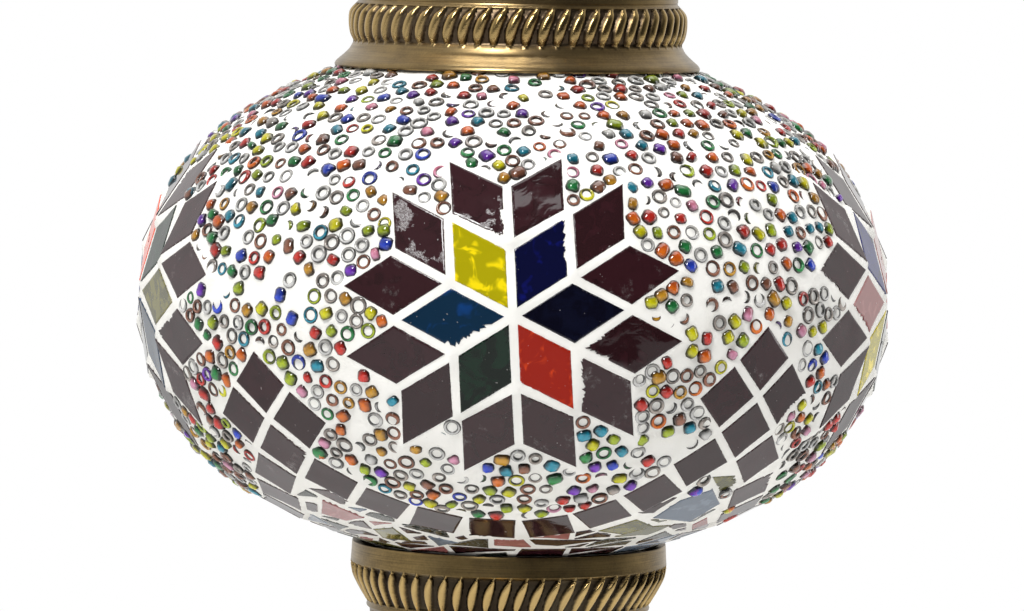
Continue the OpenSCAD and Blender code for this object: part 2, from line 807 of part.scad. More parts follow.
module finial_base() {
    color(BRASS) rotate_extrude() polygon([
        [screw_hole_r, dome_top], [dome_flat_r, dome_top], [dome_flat_r + 2, dome_top + 1],
        [dome_flat_r + 1.5, dome_top + 2.5], [dome_flat_r - 1, dome_top + 3.5], [screw_hole_r, dome_top + 3.5]
    ]);
}

// Finial: a neck, a round knob and a point
finial_z = dome_top + 3.5;
knob_r = 7;
module finial() {
    knob_z = finial_z + finial_h * 0.42;
    color(BRASS) difference() {
        rotate_extrude() intersection() {
            union() {
                polygon([
                    [0, finial_z], [5.5, finial_z], [4, finial_z + 1.5], [3.2, finial_z + 4],
                    [3.4, knob_z], [2.6, knob_z + knob_r - 0.5], [1.8, knob_z + knob_r + 2],
                    [1, finial_z + finial_h - 1], [0, finial_z + finial_h]
                ]);
                translate([0, knob_z]) circle(knob_r);
            }
            translate([0, finial_z]) square([20, finial_h]);
        }
        translate([0, 0, finial_z - 1]) cylinder(h = 9, r = 2.1);
    }
}

module finial_screw() {
    foot_z = dome_top - brass_t - 5;
    color(STEEL) translate([0, 0, foot_z]) cylinder(h = finial_z + 7 - foot_z, r = 2);
}

module finial_nut() {
    color(STEEL) hex_nut(dome_top - brass_t - 3.2, 3.2, 7, 2.1);
}

// ---------- drawing ----------

felt_pad();
base_shell();
base_weight();
base_washer();
base_nut();
cord_inlet_bush();
lamp_pipe();
stem_foot_collar();
stem_vase();
stem_middle_collar();
stem_neck();
stem_top_collar();
globe_cup();
cup_spacer();
lower_glass_gasket();
glass_globe();
upper_glass_gasket();
glass_washer();
glass_nut();
grout_coat();
petals_royal_blue();
petals_navy();
petals_orange();
petals_green();
petals_steel_blue();
petals_yellow();
petals_olive();
petals_pink();
flower_border_tiles();
garland_peak_tiles();
garland_arm_tiles();
shards_pink();
shards_olive();
shards_dark();
shards_blue_grey();
holder_cap();
holder_shell();
holder_core();
screw_shell();
centre_contact();
terminal_screws();
bulb_glass();
bulb_cap();
bulb_insulator();
bulb_tip_contact();
bulb_stem();
bulb_filaments();
cap_collar();
cap_dome();
cap_clips();
clip_rivets();
finial_base();
finial();
finial_screw();
finial_nut();
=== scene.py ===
"""Looks of the mosaic glass table lamp.

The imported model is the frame. This script lays the mosaic, the grout, the beads, the turned and
fluted brass and the bulb over it, gives every part its finish, and sets up a plain studio.
Metres, +Z up, the front of the lamp towards -Y.
"""

import collections
import functools
import math

import bmesh
import bpy
import numpy as np
from mathutils import Matrix, Vector


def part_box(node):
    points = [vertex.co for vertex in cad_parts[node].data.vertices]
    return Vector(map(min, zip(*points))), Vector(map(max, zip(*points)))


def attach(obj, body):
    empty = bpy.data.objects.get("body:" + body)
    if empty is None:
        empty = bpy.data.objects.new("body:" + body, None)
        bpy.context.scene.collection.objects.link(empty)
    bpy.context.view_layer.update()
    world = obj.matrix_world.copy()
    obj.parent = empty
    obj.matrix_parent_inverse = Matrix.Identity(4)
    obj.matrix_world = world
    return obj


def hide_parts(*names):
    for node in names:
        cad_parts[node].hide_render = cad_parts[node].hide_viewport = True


bl_info = {
    "name": "Mosaic Glass Table Lamp",
    "version": (1, 0, 0),
    "blender": (4, 5, 0),
    "location": "View3D > Sidebar > Lamp",
    "description": "Mosaic, beads, brass and studio for a glass table lamp",
    "category": "Object",
}

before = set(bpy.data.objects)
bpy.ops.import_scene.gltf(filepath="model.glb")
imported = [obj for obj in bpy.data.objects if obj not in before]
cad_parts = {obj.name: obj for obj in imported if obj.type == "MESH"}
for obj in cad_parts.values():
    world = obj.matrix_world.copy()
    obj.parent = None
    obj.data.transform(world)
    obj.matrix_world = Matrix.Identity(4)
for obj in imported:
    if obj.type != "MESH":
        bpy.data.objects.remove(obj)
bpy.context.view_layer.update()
MM = 0.001
TAU = 2 * math.pi

PETALS = ("royal_blue", "navy", "orange", "green", "steel_blue", "yellow", "olive", "pink")
PLUM_NODES = ("flower_border_tiles", "garland_peak_tiles", "garland_arm_tiles")
SHARDS = ("pink", "olive", "dark", "blue_grey")


# ---------------------------------------------------------------- reading the frame


def node_points(node):
    """Vertices of a CAD node as an array of points."""
    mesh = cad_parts[node].data
    points = np.empty(len(mesh.vertices) * 3, np.float32)
    mesh.vertices.foreach_get("co", points)
    return points.reshape(-1, 3).astype(float)


def heights(node):
    """Lowest and highest Z of a CAD node."""
    low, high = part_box(node)
    return low.z, high.z


def reach(node, z=None, slack=0.2 * MM):
    """Nearest and farthest distance from the lamp's axis of a node's vertices, all or near height z."""
    points = node_points(node)
    radius = np.hypot(points[:, 0], points[:, 1])
    if z is not None:
        radius = radius[np.abs(points[:, 2] - z) < slack]
    return float(radius.min()), float(radius.max())


def solids(node):
    """Corner points of each separate solid of a CAD node.

    Corners of the triangles are merged by place, and every triangle spreads the lowest label of
    its corners until nothing changes.
    """
    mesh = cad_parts[node].data
    points, index = np.unique(np.round(node_points(node), 6), axis=0, return_inverse=True)
    index = index.reshape(-1)
    corners = np.empty(len(mesh.loops), np.int32)
    mesh.loops.foreach_get("vertex_index", corners)
    faces = index[corners].reshape(-1, 3)
    label = np.arange(len(points))
    while True:
        lowest = label[faces].min(axis=1)
        spread = label.copy()
        np.minimum.at(spread, faces.ravel(), np.repeat(lowest, 3))
        if (spread == label).all():
            break
        label = spread
    return [points[label == one] for one in np.unique(label)]


# ---------------------------------------------------------------- meshes from arrays


def put_mesh(name, points, faces, creases=35.0, marks=None):
    """A mesh object from an array of points and an array of quads.

    Points at one place are merged, so a pole or a seam closes, faces turn outwards, and edges
    sharper than the crease angle stay sharp. marks are point attributes by name.
    """
    mesh = bpy.data.meshes.new(name)
    mesh.vertices.add(len(points))
    mesh.vertices.foreach_set("co", np.asarray(points, np.float32).ravel())
    mesh.loops.add(faces.size)
    mesh.loops.foreach_set("vertex_index", faces.astype(np.int32).ravel())
    mesh.polygons.add(len(faces))
    starts = np.arange(len(faces), dtype=np.int32) * faces.shape[1]
    mesh.polygons.foreach_set("loop_start", starts)
    mesh.update(calc_edges=True)
    for key, values in (marks or {}).items():
        layer = mesh.attributes.new(key, "FLOAT", "POINT")
        layer.data.foreach_set("value", np.asarray(values, np.float32).ravel())
    form = bmesh.new()
    form.from_mesh(mesh)
    bmesh.ops.remove_doubles(form, verts=form.verts, dist=1e-7)
    bmesh.ops.recalc_face_normals(form, faces=form.faces)
    form.to_mesh(mesh)
    form.free()
    mesh.shade_smooth()
    mesh.set_sharp_from_angle(angle=math.radians(creases))
    piece = bpy.data.objects.new(name, mesh)
    bpy.context.scene.collection.objects.link(piece)
    return piece


def grid_faces(rows, columns, close_rows):
    """Quads of a grid whose columns close round, and whose rows close too where close_rows."""
    row = np.arange(rows if close_rows else rows - 1)
    column = np.arange(columns)
    r, c = np.meshgrid(row, column, indexing="ij")
    r2, c2 = (r + 1) % rows, (c + 1) % columns
    return np.stack([r * columns + c, r * columns + c2, r2 * columns + c2, r2 * columns + c], -1).reshape(-1, 4)


def around(outline, columns, relief=None):
    """Points of an outline turned about the axis, one row for each of its points.

    The point at (r, z) and angle a is (r sin a, -r cos a, z), where a is 0 at the front. relief is
    a function of the angles, radii and heights that gives how far each point moves outwards.
    """
    outline = np.asarray(outline, float)
    angle = np.arange(columns) * TAU / columns
    r = np.repeat(outline[:, :1], columns, 1)
    z = np.repeat(outline[:, 1:], columns, 1)
    a = np.repeat(angle[None], len(outline), 0)
    if relief is not None:
        r = r + relief(a, r, z)
    return np.stack([r * np.sin(a), -r * np.cos(a), z], -1)


def fine(path, step, closed=True):
    """A path of (r, z) points with points added along its straight legs, step apart or less."""
    path = np.asarray(path, float)
    ends = np.roll(path, -1, 0) if closed else path[1:]
    out = []
    for a, b in zip(path, ends):
        count = max(1, int(np.ceil(np.linalg.norm(b - a) / step)))
        out.append(a + (b - a) * np.arange(count)[:, None] / count)
    if not closed:
        out.append(path[-1:])
    return np.concatenate(out)


def bent(controls, count):
    """A smooth curve of count points through the control points.

    Between two controls it is the Catmull-Rom cubic, whose slope at each control is half the
    step from the one before to the one after.
    """
    p = np.asarray(controls, float)
    padded = np.concatenate([2 * p[:1] - p[1:2], p, 2 * p[-1:] - p[-2:-1]])
    t = np.linspace(0, len(p) - 1 - 1e-9, count)
    k = t.astype(int)
    u = (t - k)[:, None]
    a, b, c, d = padded[k], padded[k + 1], padded[k + 2], padded[k + 3]
    return 0.5 * (2 * b + (c - a) * u + (2 * a - 5 * b + 4 * c - d) * u**2 + (3 * b - a - 3 * c + d) * u**3)


def walled(outer, thickness):
    """Closed outline of a wall: the outer line, and the same line moved in by the thickness."""
    outer = np.asarray(outer, float)
    leg = np.gradient(outer, axis=0)
    leg /= np.linalg.norm(leg, axis=1)[:, None]
    inner = outer + thickness * np.stack([-leg[:, 1], leg[:, 0]], -1)
    return np.concatenate([outer, inner[::-1]])


def turned(name, outline, columns=96, relief=None, worn=0.5, closed=True, creases=35.0):
    """A turned piece: a closed outline carried round the axis. worn is its polish, 0 to 1."""
    points = around(outline, columns, relief)
    rows = len(points)
    values = np.full(rows * columns, worn)
    if relief is not None:
        angle = np.arange(columns) * TAU / columns
        a = np.repeat(angle[None], rows, 0)
        outline = np.asarray(outline, float)
        values = relief.polish(a, outline[:, :1] + 0 * a, outline[:, 1:] + 0 * a, worn).ravel()
    return put_mesh(name, points.reshape(-1, 3), grid_faces(rows, columns, closed), creases, {"worn": values})


class Lobes:
    """Leaning leaf-shaped ridges in a shallow channel round a turned piece.

    A ridge's half width is a share of the pitch, and shrinks to nothing at the channel's edges as
    1 - |2h - 1|^2.2 to the power taper, where h runs from 0 to 1 up the channel. Across, it is the
    square root of 1 - (d / half width)^2, a round back. It leans over and bows with height.
    """

    def __init__(self, count, low, high, depth, lean=0.6, width=0.8, taper=0.4, bow=0.0, least_r=0.0):
        self.count, self.low, self.high, self.depth = count, low, high, depth
        self.lean, self.width, self.taper, self.bow, self.least_r = lean, width, taper, bow, least_r

    def shape(self, angle, radius, z):
        along = np.clip((z - self.low) / (self.high - self.low), 0, 1)
        middle = 2 * along - 1
        inside = np.clip(1 - np.abs(middle) ** 10, 0, 1) * (radius > self.least_r)
        phase = self.count * angle / TAU - self.lean * along + self.bow * (1 - middle**2)
        room = self.width * np.clip(1 - np.abs(middle) ** 2.2, 1e-4, 1) ** self.taper
        apart = np.abs(2 * (phase - np.floor(phase)) - 1) / room
        return np.sqrt(np.clip(1 - apart**2, 0, 1)), inside

    def __call__(self, angle, radius, z):
        lobe, inside = self.shape(angle, radius, z)
        return -self.depth * (1 - lobe) * inside

    def polish(self, angle, radius, z, worn):
        lobe, inside = self.shape(angle, radius, z)
        return worn + inside * (np.clip(1.5 * lobe - 0.5, 0, 1) - worn)


class Bands:
    """Several bands of lobes on one piece."""

    def __init__(self, *bands):
        self.bands = bands

    def __call__(self, angle, radius, z):
        return sum(band(angle, radius, z) for band in self.bands)

    def polish(self, angle, radius, z, worn):
        for band in self.bands:
            worn = band.polish(angle, radius, z, worn)
        return worn


RANDOM_CELLS = np.random.default_rng(11).random(65536)


def soft_noise(points, size, seed=0):
    """Smooth noise from -1 to 1 with bumps of about the given size.

    Every corner of a cubic lattice has a random value, and inside a cell the eight values are
    blended with 3t^2 - 2t^3 along each axis.
    """
    p = np.asarray(points, float) / size
    cell = np.floor(p).astype(np.int64)
    t = p - cell
    t = t * t * (3 - 2 * t)
    total = 0
    for corner in range(8):
        step = np.array([corner & 1, corner >> 1 & 1, corner >> 2 & 1])
        c = cell + step
        key = c[..., 0] * 73856093 ^ c[..., 1] * 19349663 ^ c[..., 2] * 83492791 ^ seed * 9973
        weight = np.prod(np.where(step, t, 1 - t), axis=-1)
        total = total + weight * RANDOM_CELLS[key & 65535]
    return 2 * total - 1


# ---------------------------------------------------------------- the globe's surface


class Globe:
    """Finished surface of the globe.

    Its outline is a small side arc between two flat crown arcs, one over and one under the widest
    line, and touches both smoothly. A place on it is an azimuth and an arc length up from the
    widest line.
    """

    def __init__(self, sizes):
        points = node_points("grout_coat")
        radius = np.hypot(points[:, 0], points[:, 1])
        self.width = float(radius.max())
        self.equator = float(points[radius > self.width - 0.02 * MM, 2].mean())
        self.crown_r = sizes.crown_radius
        self.crown_z = sizes.crown_radius - sizes.pole_height
        self.side_r = (self.crown_r**2 - self.width**2 - self.crown_z**2) / (2 * (self.crown_r - self.width))
        self.side_x = self.width - self.side_r
        self.meet_a = math.atan2(self.crown_z, self.side_x)
        low, high = heights("grout_coat")
        self.s_low = self.arc_at(reach("grout_coat", low)[1], -1)
        self.s_high = self.arc_at(reach("grout_coat", high)[0], 1)

    def arc_at(self, radius, side):
        """Arc length of the crown's surface at a distance from the axis, over or under the widest line."""
        angle = math.acos(radius / self.crown_r)
        return side * (self.side_r * self.meet_a + self.crown_r * (angle - self.meet_a))

    def tilt(self, s):
        """Angle of the surface's normal above the horizon at arc length s."""
        meet = self.side_r * self.meet_a
        beyond = self.meet_a + (np.abs(s) - meet) / self.crown_r
        return np.where(np.abs(s) < meet, s / self.side_r, np.sign(s) * beyond)

    def radius(self, s):
        """Distance from the axis at arc length s."""
        a = self.tilt(s)
        on_side = np.abs(s) < self.side_r * self.meet_a
        return np.where(on_side, self.side_x + self.side_r * np.cos(a), self.crown_r * np.cos(a))

    def place(self, azimuth, s):
        """Point, normal, eastward and upward directions at azimuth and arc length."""
        a, r = self.tilt(s), self.radius(s)
        on_side = np.abs(s) < self.side_r * self.meet_a
        z = np.where(on_side, self.side_r * np.sin(a), self.crown_r * np.sin(a) - np.sign(s) * self.crown_z)
        out = np.stack([np.sin(azimuth), -np.cos(azimuth), 0 * azimuth], -1)
        up = np.stack([0 * a, 0 * a, 1 + 0 * a], -1)
        east = np.stack([np.cos(azimuth), np.sin(azimuth), 0 * azimuth], -1)
        point = out * r[..., None] + up * (self.equator + z)[..., None]
        normal = out * np.cos(a)[..., None] + up * np.sin(a)[..., None]
        north = up * np.cos(a)[..., None] - out * np.sin(a)[..., None]
        return point, normal, east, north

    def normal_at(self, point):
        """Outward direction of the surface nearest a point."""
        r, z = math.hypot(point[0], point[1]), point[2] - self.equator
        on_side = abs(z) < self.side_r * math.sin(self.meet_a)
        centre = (self.side_x, 0.0) if on_side else (0.0, -math.copysign(self.crown_z, z))
        line = np.array([r - centre[0], z - centre[1]])
        line /= np.linalg.norm(line)
        return np.array([point[0] / r * line[0], point[1] / r * line[0], line[1]])

    def where(self, point):
        """Azimuth and arc length of the surface nearest a point."""
        r, z = math.hypot(point[0], point[1]), point[2] - self.equator
        azimuth = math.atan2(point[0], -point[1])
        angle = math.atan2(z, r - self.side_x)
        if abs(angle) < self.meet_a:
            return azimuth, self.side_r * angle
        angle = math.atan2(abs(z) + self.crown_z, r)
        return azimuth, math.copysign(self.side_r * self.meet_a + self.crown_r * (angle - self.meet_a), z)


class Tile:
    """One flat glass tile: its middle, directions, outline in its own plane and thickness."""

    def __init__(self, points, globe):
        middle = points.mean(axis=0)
        out = globe.normal_at(middle)
        above = (points - middle) @ out
        top, bottom = points[above > 0], points[above <= 0]
        self.centre = top.mean(axis=0)
        _, _, axes = np.linalg.svd(top - self.centre)
        self.normal = axes[2] * np.sign(axes[2] @ out)
        east = np.array([-middle[1], middle[0], 0.0])
        east -= self.normal * (east @ self.normal)
        self.u = east / np.linalg.norm(east)
        self.v = np.cross(self.normal, self.u)
        flat = self.flat(top)
        flat = flat[np.argsort(np.arctan2(flat[:, 1], flat[:, 0]))]
        # corners nearer than a tenth of a millimetre are one
        keep = np.linalg.norm(flat - np.roll(flat, 1, 0), axis=1) > 0.1 * MM
        self.outline = flat[keep]
        self.thickness = float(abs((top.mean(axis=0) - bottom.mean(axis=0)) @ self.normal))

    def corners(self):
        """Corners of its face in space."""
        return self.centre + self.outline[:, :1] * self.u + self.outline[:, 1:] * self.v

    def flat(self, points):
        """Points in the tile's own plane."""
        return np.stack([(points - self.centre) @ self.u, (points - self.centre) @ self.v], -1)

    @classmethod
    def from_places(cls, azimuth, s, globe, thickness):
        """A tile from the azimuths and arc lengths of its corners, that touches the surface."""
        point, normal, _, _ = globe.place(azimuth, s)
        out = normal.mean(axis=0)
        out /= np.linalg.norm(out)
        height = (point - point.mean(axis=0)) @ out
        top = point - height[:, None] * out
        return cls(np.concatenate([top, top - thickness * out]), globe)

    def edge_distance(self, points):
        """Distance outside the outline, negative inside: the largest distance past any side."""
        p = self.flat(points)
        a, b = self.outline, np.roll(self.outline, -1, 0)
        side = (b - a) / np.linalg.norm(b - a, axis=1)[:, None]
        out = np.stack([side[:, 1], -side[:, 0]], -1)
        return ((p[..., None, :] - a) * out).sum(-1).max(-1)


def gap_to_tiles(points, tiles, globe):
    """Distance of points to the nearest tile's edge, negative inside, and that tile's height there.

    The height is how far the tile's plane lies over the finished surface along its normal.
    """
    gap = np.full(len(points), 1.0)
    lift = np.zeros(len(points))
    far = 16 * MM
    for tile in tiles:
        near = np.flatnonzero(((points - tile.centre) ** 2).sum(-1) < far**2)
        distance = tile.edge_distance(points[near])
        closer = distance < gap[near]
        chosen = near[closer]
        gap[chosen] = distance[closer]
        onto = (points[chosen] - tile.centre) @ tile.normal
        lift[chosen] = -onto
    return gap, lift


# ---------------------------------------------------------------- settings


def length(name, description, default):
    """A length property in metres."""
    return bpy.props.FloatProperty(name=name, description=description, default=default, unit="LENGTH", precision=5)


def tint(name, description, default):
    """A colour property."""
    return bpy.props.FloatVectorProperty(
        name=name, description=description, default=default, size=3, subtype="COLOR", min=0, max=1
    )


class GlobeSettings(bpy.types.PropertyGroup):
    """Sizes of the globe, its grout and its tiles."""

    crown_radius: length("Crown radius", "Radius of the flat arcs over and under the globe", 0.1145)
    pole_height: length("Pole height", "Height of the pole over the widest line", 0.060)
    grout_depth: length("Grout depth", "Thickness of the grout", 0.0022)
    tile_depth: length("Tile thickness", "Thickness of the broken pieces under the garland", 0.0018)
    joint: length("Joint", "Width of the grout line between broken pieces", 0.0016)
    grout_rough: length("Grout roughness", "Height of the grout's unevenness", 0.00022)
    tile_bevel: length("Tile bevel", "Width of a tile's worn edge", 0.00022)
    tile_chip: length("Tile chip", "Depth of the chips in a tile's edge", 0.00032)


class BeadSettings(bpy.types.PropertyGroup):
    """Sizes and spacing of the glass beads."""

    radius: length("Radius", "Outer radius of a bead", 0.00183)
    hole: length("Hole", "Radius of a bead's hole", 0.00084)
    height: length("Height", "Length of a bead along its hole", 0.0022)
    spacing: length("Spacing", "Distance between the middles of two beads", 0.00445)
    seed: bpy.props.IntProperty(name="Seed", description="Seed of the scatter", default=7)


class BrassSettings(bpy.types.PropertyGroup):
    """Ornament of the brass."""

    rope_lobes: bpy.props.IntProperty(name="Rope lobes", description="Lobes round the cap's ring", default=65)
    cup_lobes: bpy.props.IntProperty(name="Cup flutes", description="Flutes round the cup", default=60)
    lobe_depth: length("Lobe depth", "Depth of the grooves between lobes", 0.0011)
    bright: tint("Bright", "Colour where the brass is rubbed bright", (0.47, 0.325, 0.130))
    dark: tint("Dark", "Colour of the dark wash in the hollows", (0.085, 0.060, 0.038))


class StudioSettings(bpy.types.PropertyGroup):
    """Camera and light."""

    lens: bpy.props.FloatProperty(name="Lens", description="Focal length", default=219.3, unit="CAMERA")
    distance: length("Distance", "Distance of the camera from the lamp's axis", 1.418)
    rise: length("Rise", "Height of the camera over the globe's widest line", 0.0931)
    pitch: bpy.props.FloatProperty(
        name="Pitch", description="Downward tilt", default=math.radians(3.80), subtype="ANGLE"
    )
    roll: bpy.props.FloatProperty(name="Roll", description="Lean", default=math.radians(1.0), subtype="ANGLE")
    yaw: bpy.props.FloatProperty(name="Yaw", description="Turn", default=math.radians(0.0096), subtype="ANGLE")


def settings():
    """The scene's settings for the lamp."""
    return bpy.context.scene.mosaic_lamp


def known(group):
    """The values of a group of settings as a named tuple, under which what they give is kept."""
    names = tuple(type(group).__annotations__)
    return collections.namedtuple("Known", names)(*(getattr(group, name) for name in names))


# ---------------------------------------------------------------- shader maths


class Value:
    """A socket's value, on which Python's arithmetic adds Math nodes."""

    def __init__(self, nodes, socket):
        self.nodes, self.socket = nodes, socket

    def maths(self, operation, *values):
        return self.nodes.add("ShaderNodeMath", {"operation": operation}, dict(enumerate(values)))

    def __add__(self, other):
        return self.maths("ADD", self, other)

    def __radd__(self, other):
        return self.maths("ADD", other, self)

    def __sub__(self, other):
        return self.maths("SUBTRACT", self, other)

    def __rsub__(self, other):
        return self.maths("SUBTRACT", other, self)

    def __mul__(self, other):
        return self.maths("MULTIPLY", self, other)

    def __rmul__(self, other):
        return self.maths("MULTIPLY", other, self)

    def step(self, low, high):
        """0 below low, 1 above high and smooth between."""
        span = {"Value": self, "From Min": low, "From Max": high}
        return self.nodes.add("ShaderNodeMapRange", {"interpolation_type": "SMOOTHSTEP"}, span)


class Nodes:
    """A node tree in the making."""

    def __init__(self, tree):
        self.tree = tree

    def add(self, kind, choices=None, sockets=None, out=0):
        """Any node: its choices are set first, then its sockets get values or links."""
        node = self.tree.nodes.new(kind)
        for key, value in (choices or {}).items():
            if key == "stops":
                self.set_stops(node.color_ramp, value)
            else:
                setattr(node, key, value)
        for key, value in (sockets or {}).items():
            socket = node.inputs[key]
            if isinstance(value, Value):
                self.tree.links.new(value.socket, socket)
            else:
                socket.default_value = (*value, 1.0) if socket.type == "RGBA" else value
        return Value(self, node.outputs[out]) if node.outputs else None

    @staticmethod
    def set_stops(ramp, stops):
        """Sets a colour ramp's stops from pairs of place and colour."""
        while len(ramp.elements) < len(stops):
            ramp.elements.new(1.0)
        for element, (place, colour) in zip(ramp.elements, stops):
            element.position = place
            element.color = (*colour, 1.0)


class Finish(Nodes):
    """A material in the making, with one Principled shader."""

    def __init__(self, name, **constants):
        self.material = bpy.data.materials.new(name)
        self.material.use_nodes = True
        super().__init__(self.material.node_tree)
        self.shader = self.tree.nodes["Principled BSDF"]
        for key, value in constants.items():
            socket = self.shader.inputs[key.replace("_", " ").title().replace("Ior", "IOR")]
            socket.default_value = (*value, 1.0) if isinstance(value, tuple) else value

    def feed(self, socket, value):
        """Links a value to a socket of the shader."""
        self.tree.links.new(value.socket, self.shader.inputs[socket])
        return self

    def place(self, scale=(1, 1, 1)):
        """Object coordinates in millimetres, stretched by scale."""
        where = self.add("ShaderNodeTexCoord", out=3)
        return self.add("ShaderNodeMapping", {}, {0: where, 3: tuple(1000 * k for k in scale)})

    def noise(self, size, detail=3.0, rough=0.55, where=None, distortion=0.0):
        """Noise from 0 to 1 with bumps of about size millimetres."""
        grain = {"Scale": 1.0 / size, "Detail": detail, "Roughness": rough, "Distortion": distortion}
        return self.add("ShaderNodeTexNoise", {}, {"Vector": where or self.place(), **grain})

    def mark(self, name):
        """A point attribute of the piece."""
        return self.add("ShaderNodeAttribute", {"attribute_name": name}, out=2)

    def mix(self, factor, a, b):
        """Colour a where factor is 0 and b where it is 1."""
        return self.add("ShaderNodeMix", {"data_type": "RGBA"}, {0: factor, 6: a, 7: b}, out=2)

    def bump(self, height, strength, distance):
        """Bump from a height value; distance is in millimetres."""
        relief = {"Height": height, "Strength": strength, "Distance": distance * MM}
        return self.feed("Normal", self.add("ShaderNodeBump", {}, relief))


# ---------------------------------------------------------------- finishes


def scaled(colour, factor):
    """A colour made lighter or darker."""
    return tuple(min(1.0, c * factor) for c in colour)


def antique_brass(name, wash=1.0):
    """Brass with a dark wash in its hollows, rubbed bright on what stands out, and fine brush lines.

    wash makes the dark darker below 1.
    """
    brass = settings().brass
    f = Finish(name, metallic=1.0)
    cloud = f.noise(9.0, 4.0)
    speck = f.noise(0.5, 2.0)
    lines = f.noise(0.30, 2.0, where=f.place((0.02, 0.02, 1.0)))
    worn = (f.mark("worn") + (cloud - 0.5) * 0.45 + (speck - 0.5) * 0.2 + (lines - 0.5) * 0.35).step(0.02, 0.95)
    tone = f.mix(worn, scaled(tuple(brass.dark), wash), tuple(brass.bright))
    f.feed("Base Color", f.mix((f.noise(22.0, 2.0) - 0.45) * 0.7, tone, (0.20, 0.165, 0.11)))
    f.feed("Roughness", 0.38 - 0.17 * worn + (cloud - 0.5) * 0.10)
    f.bump(lines * 0.6 + speck * 0.25, 0.4, 0.09)
    return f.material


def plain_metal(name, colour, rough, wear=0.08):
    """Bright metal with fine scratches."""
    f = Finish(name, metallic=1.0)
    cloud = f.noise(4.0, 4.0)
    f.feed("Base Color", f.mix(cloud, colour, scaled(colour, 0.78)))
    f.feed("Roughness", rough + (cloud - 0.5) * wear)
    f.bump(f.noise(0.25, 2.0, where=f.place((0.2, 0.2, 1.0))), 0.2, 0.03)
    return f.material


def cast_iron(name):
    """Rough dark casting."""
    f = Finish(name, metallic=0.6)
    grain = f.noise(0.8, 5.0)
    f.feed("Base Color", f.mix(grain, (0.035, 0.035, 0.038), (0.09, 0.085, 0.08)))
    f.feed("Roughness", 0.55 + grain * 0.25)
    f.bump(grain, 0.6, 0.25)
    return f.material


def dull(name, colour, rough=0.7, grain=0.6, depth=0.08):
    """Rubber or moulded resin with a fine grain."""
    f = Finish(name)
    grains = f.noise(grain, 3.0)
    f.feed("Base Color", f.mix(grains, colour, scaled(colour, 1.6)))
    f.feed("Roughness", rough + (grains - 0.5) * 0.15)
    f.bump(grains, 0.3, depth)
    return f.material


def felt(name):
    """Matted green fibres."""
    f = Finish(name, sheen_weight=0.4)
    fibres = f.noise(0.35, 4.0, 0.7, distortion=1.5)
    f.feed("Base Color", f.mix(fibres, (0.018, 0.04, 0.024), (0.06, 0.11, 0.07)))
    f.feed("Roughness", 0.9 + fibres * 0.08)
    f.bump(fibres, 0.7, 0.2)
    return f.material


def porcelain(name):
    """White glazed ceramic."""
    f = Finish(name, coat_weight=0.6)
    f.feed("Base Color", f.mix(f.noise(3.0), (0.82, 0.80, 0.75), (0.74, 0.72, 0.67)))
    f.feed("Roughness", 0.22 + f.noise(1.0) * 0.1)
    return f.material


def grout(name):
    """Chalky white filler with faint grey stains here and there, and greyer towards the bottom of the globe."""
    f = Finish(name)
    grain = f.noise(0.45, 4.0, 0.6)
    stain = f.noise(13.0, 3.0)
    # The worn mark here is 0 higher up and rises to 1 towards the bottom of the globe, where the grout is made
    # greyer.
    low = f.mark("worn")
    clean = f.mix((stain - 0.52).step(0.0, 0.22) * 0.35, (0.93, 0.915, 0.87), (0.80, 0.78, 0.71))
    f.feed("Base Color", f.mix(low * 0.5, clean, (0.56, 0.54, 0.50)))
    f.feed("Roughness", 0.62 + grain * 0.25)
    f.bump(grain + f.noise(2.2, 3.0) * 1.4, 0.5, 0.16)
    return f.material


def sheet_glass(name, deep, light, cloudy=0.0, frosty=0.35, shine=0.5, crackle=False):
    """Stained sheet glass: a deep colour with streaks, frosty patches, specks and chipped edges.

    The mark 'tile' is a random number for each tile, which chooses how frosty it is, and 'edge'
    runs up to 1 at its rim.
    """
    f = Finish(name, ior=1.52, specular_ior_level=shine)
    tile, edge = f.mark("tile"), f.mark("edge")
    warp = f.noise(5.0, 2.0, distortion=1.2)
    streak = (warp + (tile - 0.5) * 0.3).step(0.44, 0.60)
    colour = f.mix(streak * (0.35 + cloudy), deep, light)
    scuff = f.noise(0.45, 5.0, 0.75, distortion=0.8)
    patch = (f.noise(4.6, 3.0) + tile * 0.42).step(1.06 - frosty * 0.42, 1.20 - frosty * 0.42)
    frost = patch * scuff.step(0.36, 0.62)
    if crackle:
        cells = f.add(
            "ShaderNodeTexVoronoi", {"feature": "DISTANCE_TO_EDGE"}, {"Vector": f.place(), "Scale": 0.55}
        )
        frost = frost + (1 - cells.step(0.0, 0.12)) * scuff.step(0.3, 0.6)
    chips = edge.step(0.35, 0.95) * f.noise(0.5, 3.0, 0.7).step(0.5, 0.66)
    specks = f.noise(0.8, 1.0).step(0.76, 0.80)
    pale = (frost * 0.6 + chips * 0.7 + specks * 0.8).step(0.0, 1.0)
    f.feed("Base Color", f.mix(pale * 0.5, colour, (0.50, 0.47, 0.46)))
    f.feed("Roughness", 0.04 + 0.45 * pale + (warp - 0.5) * 0.04)
    f.bump(warp * 0.5 + scuff * frost * 0.6 + chips * 0.8, 0.25, 0.12)
    return f.material


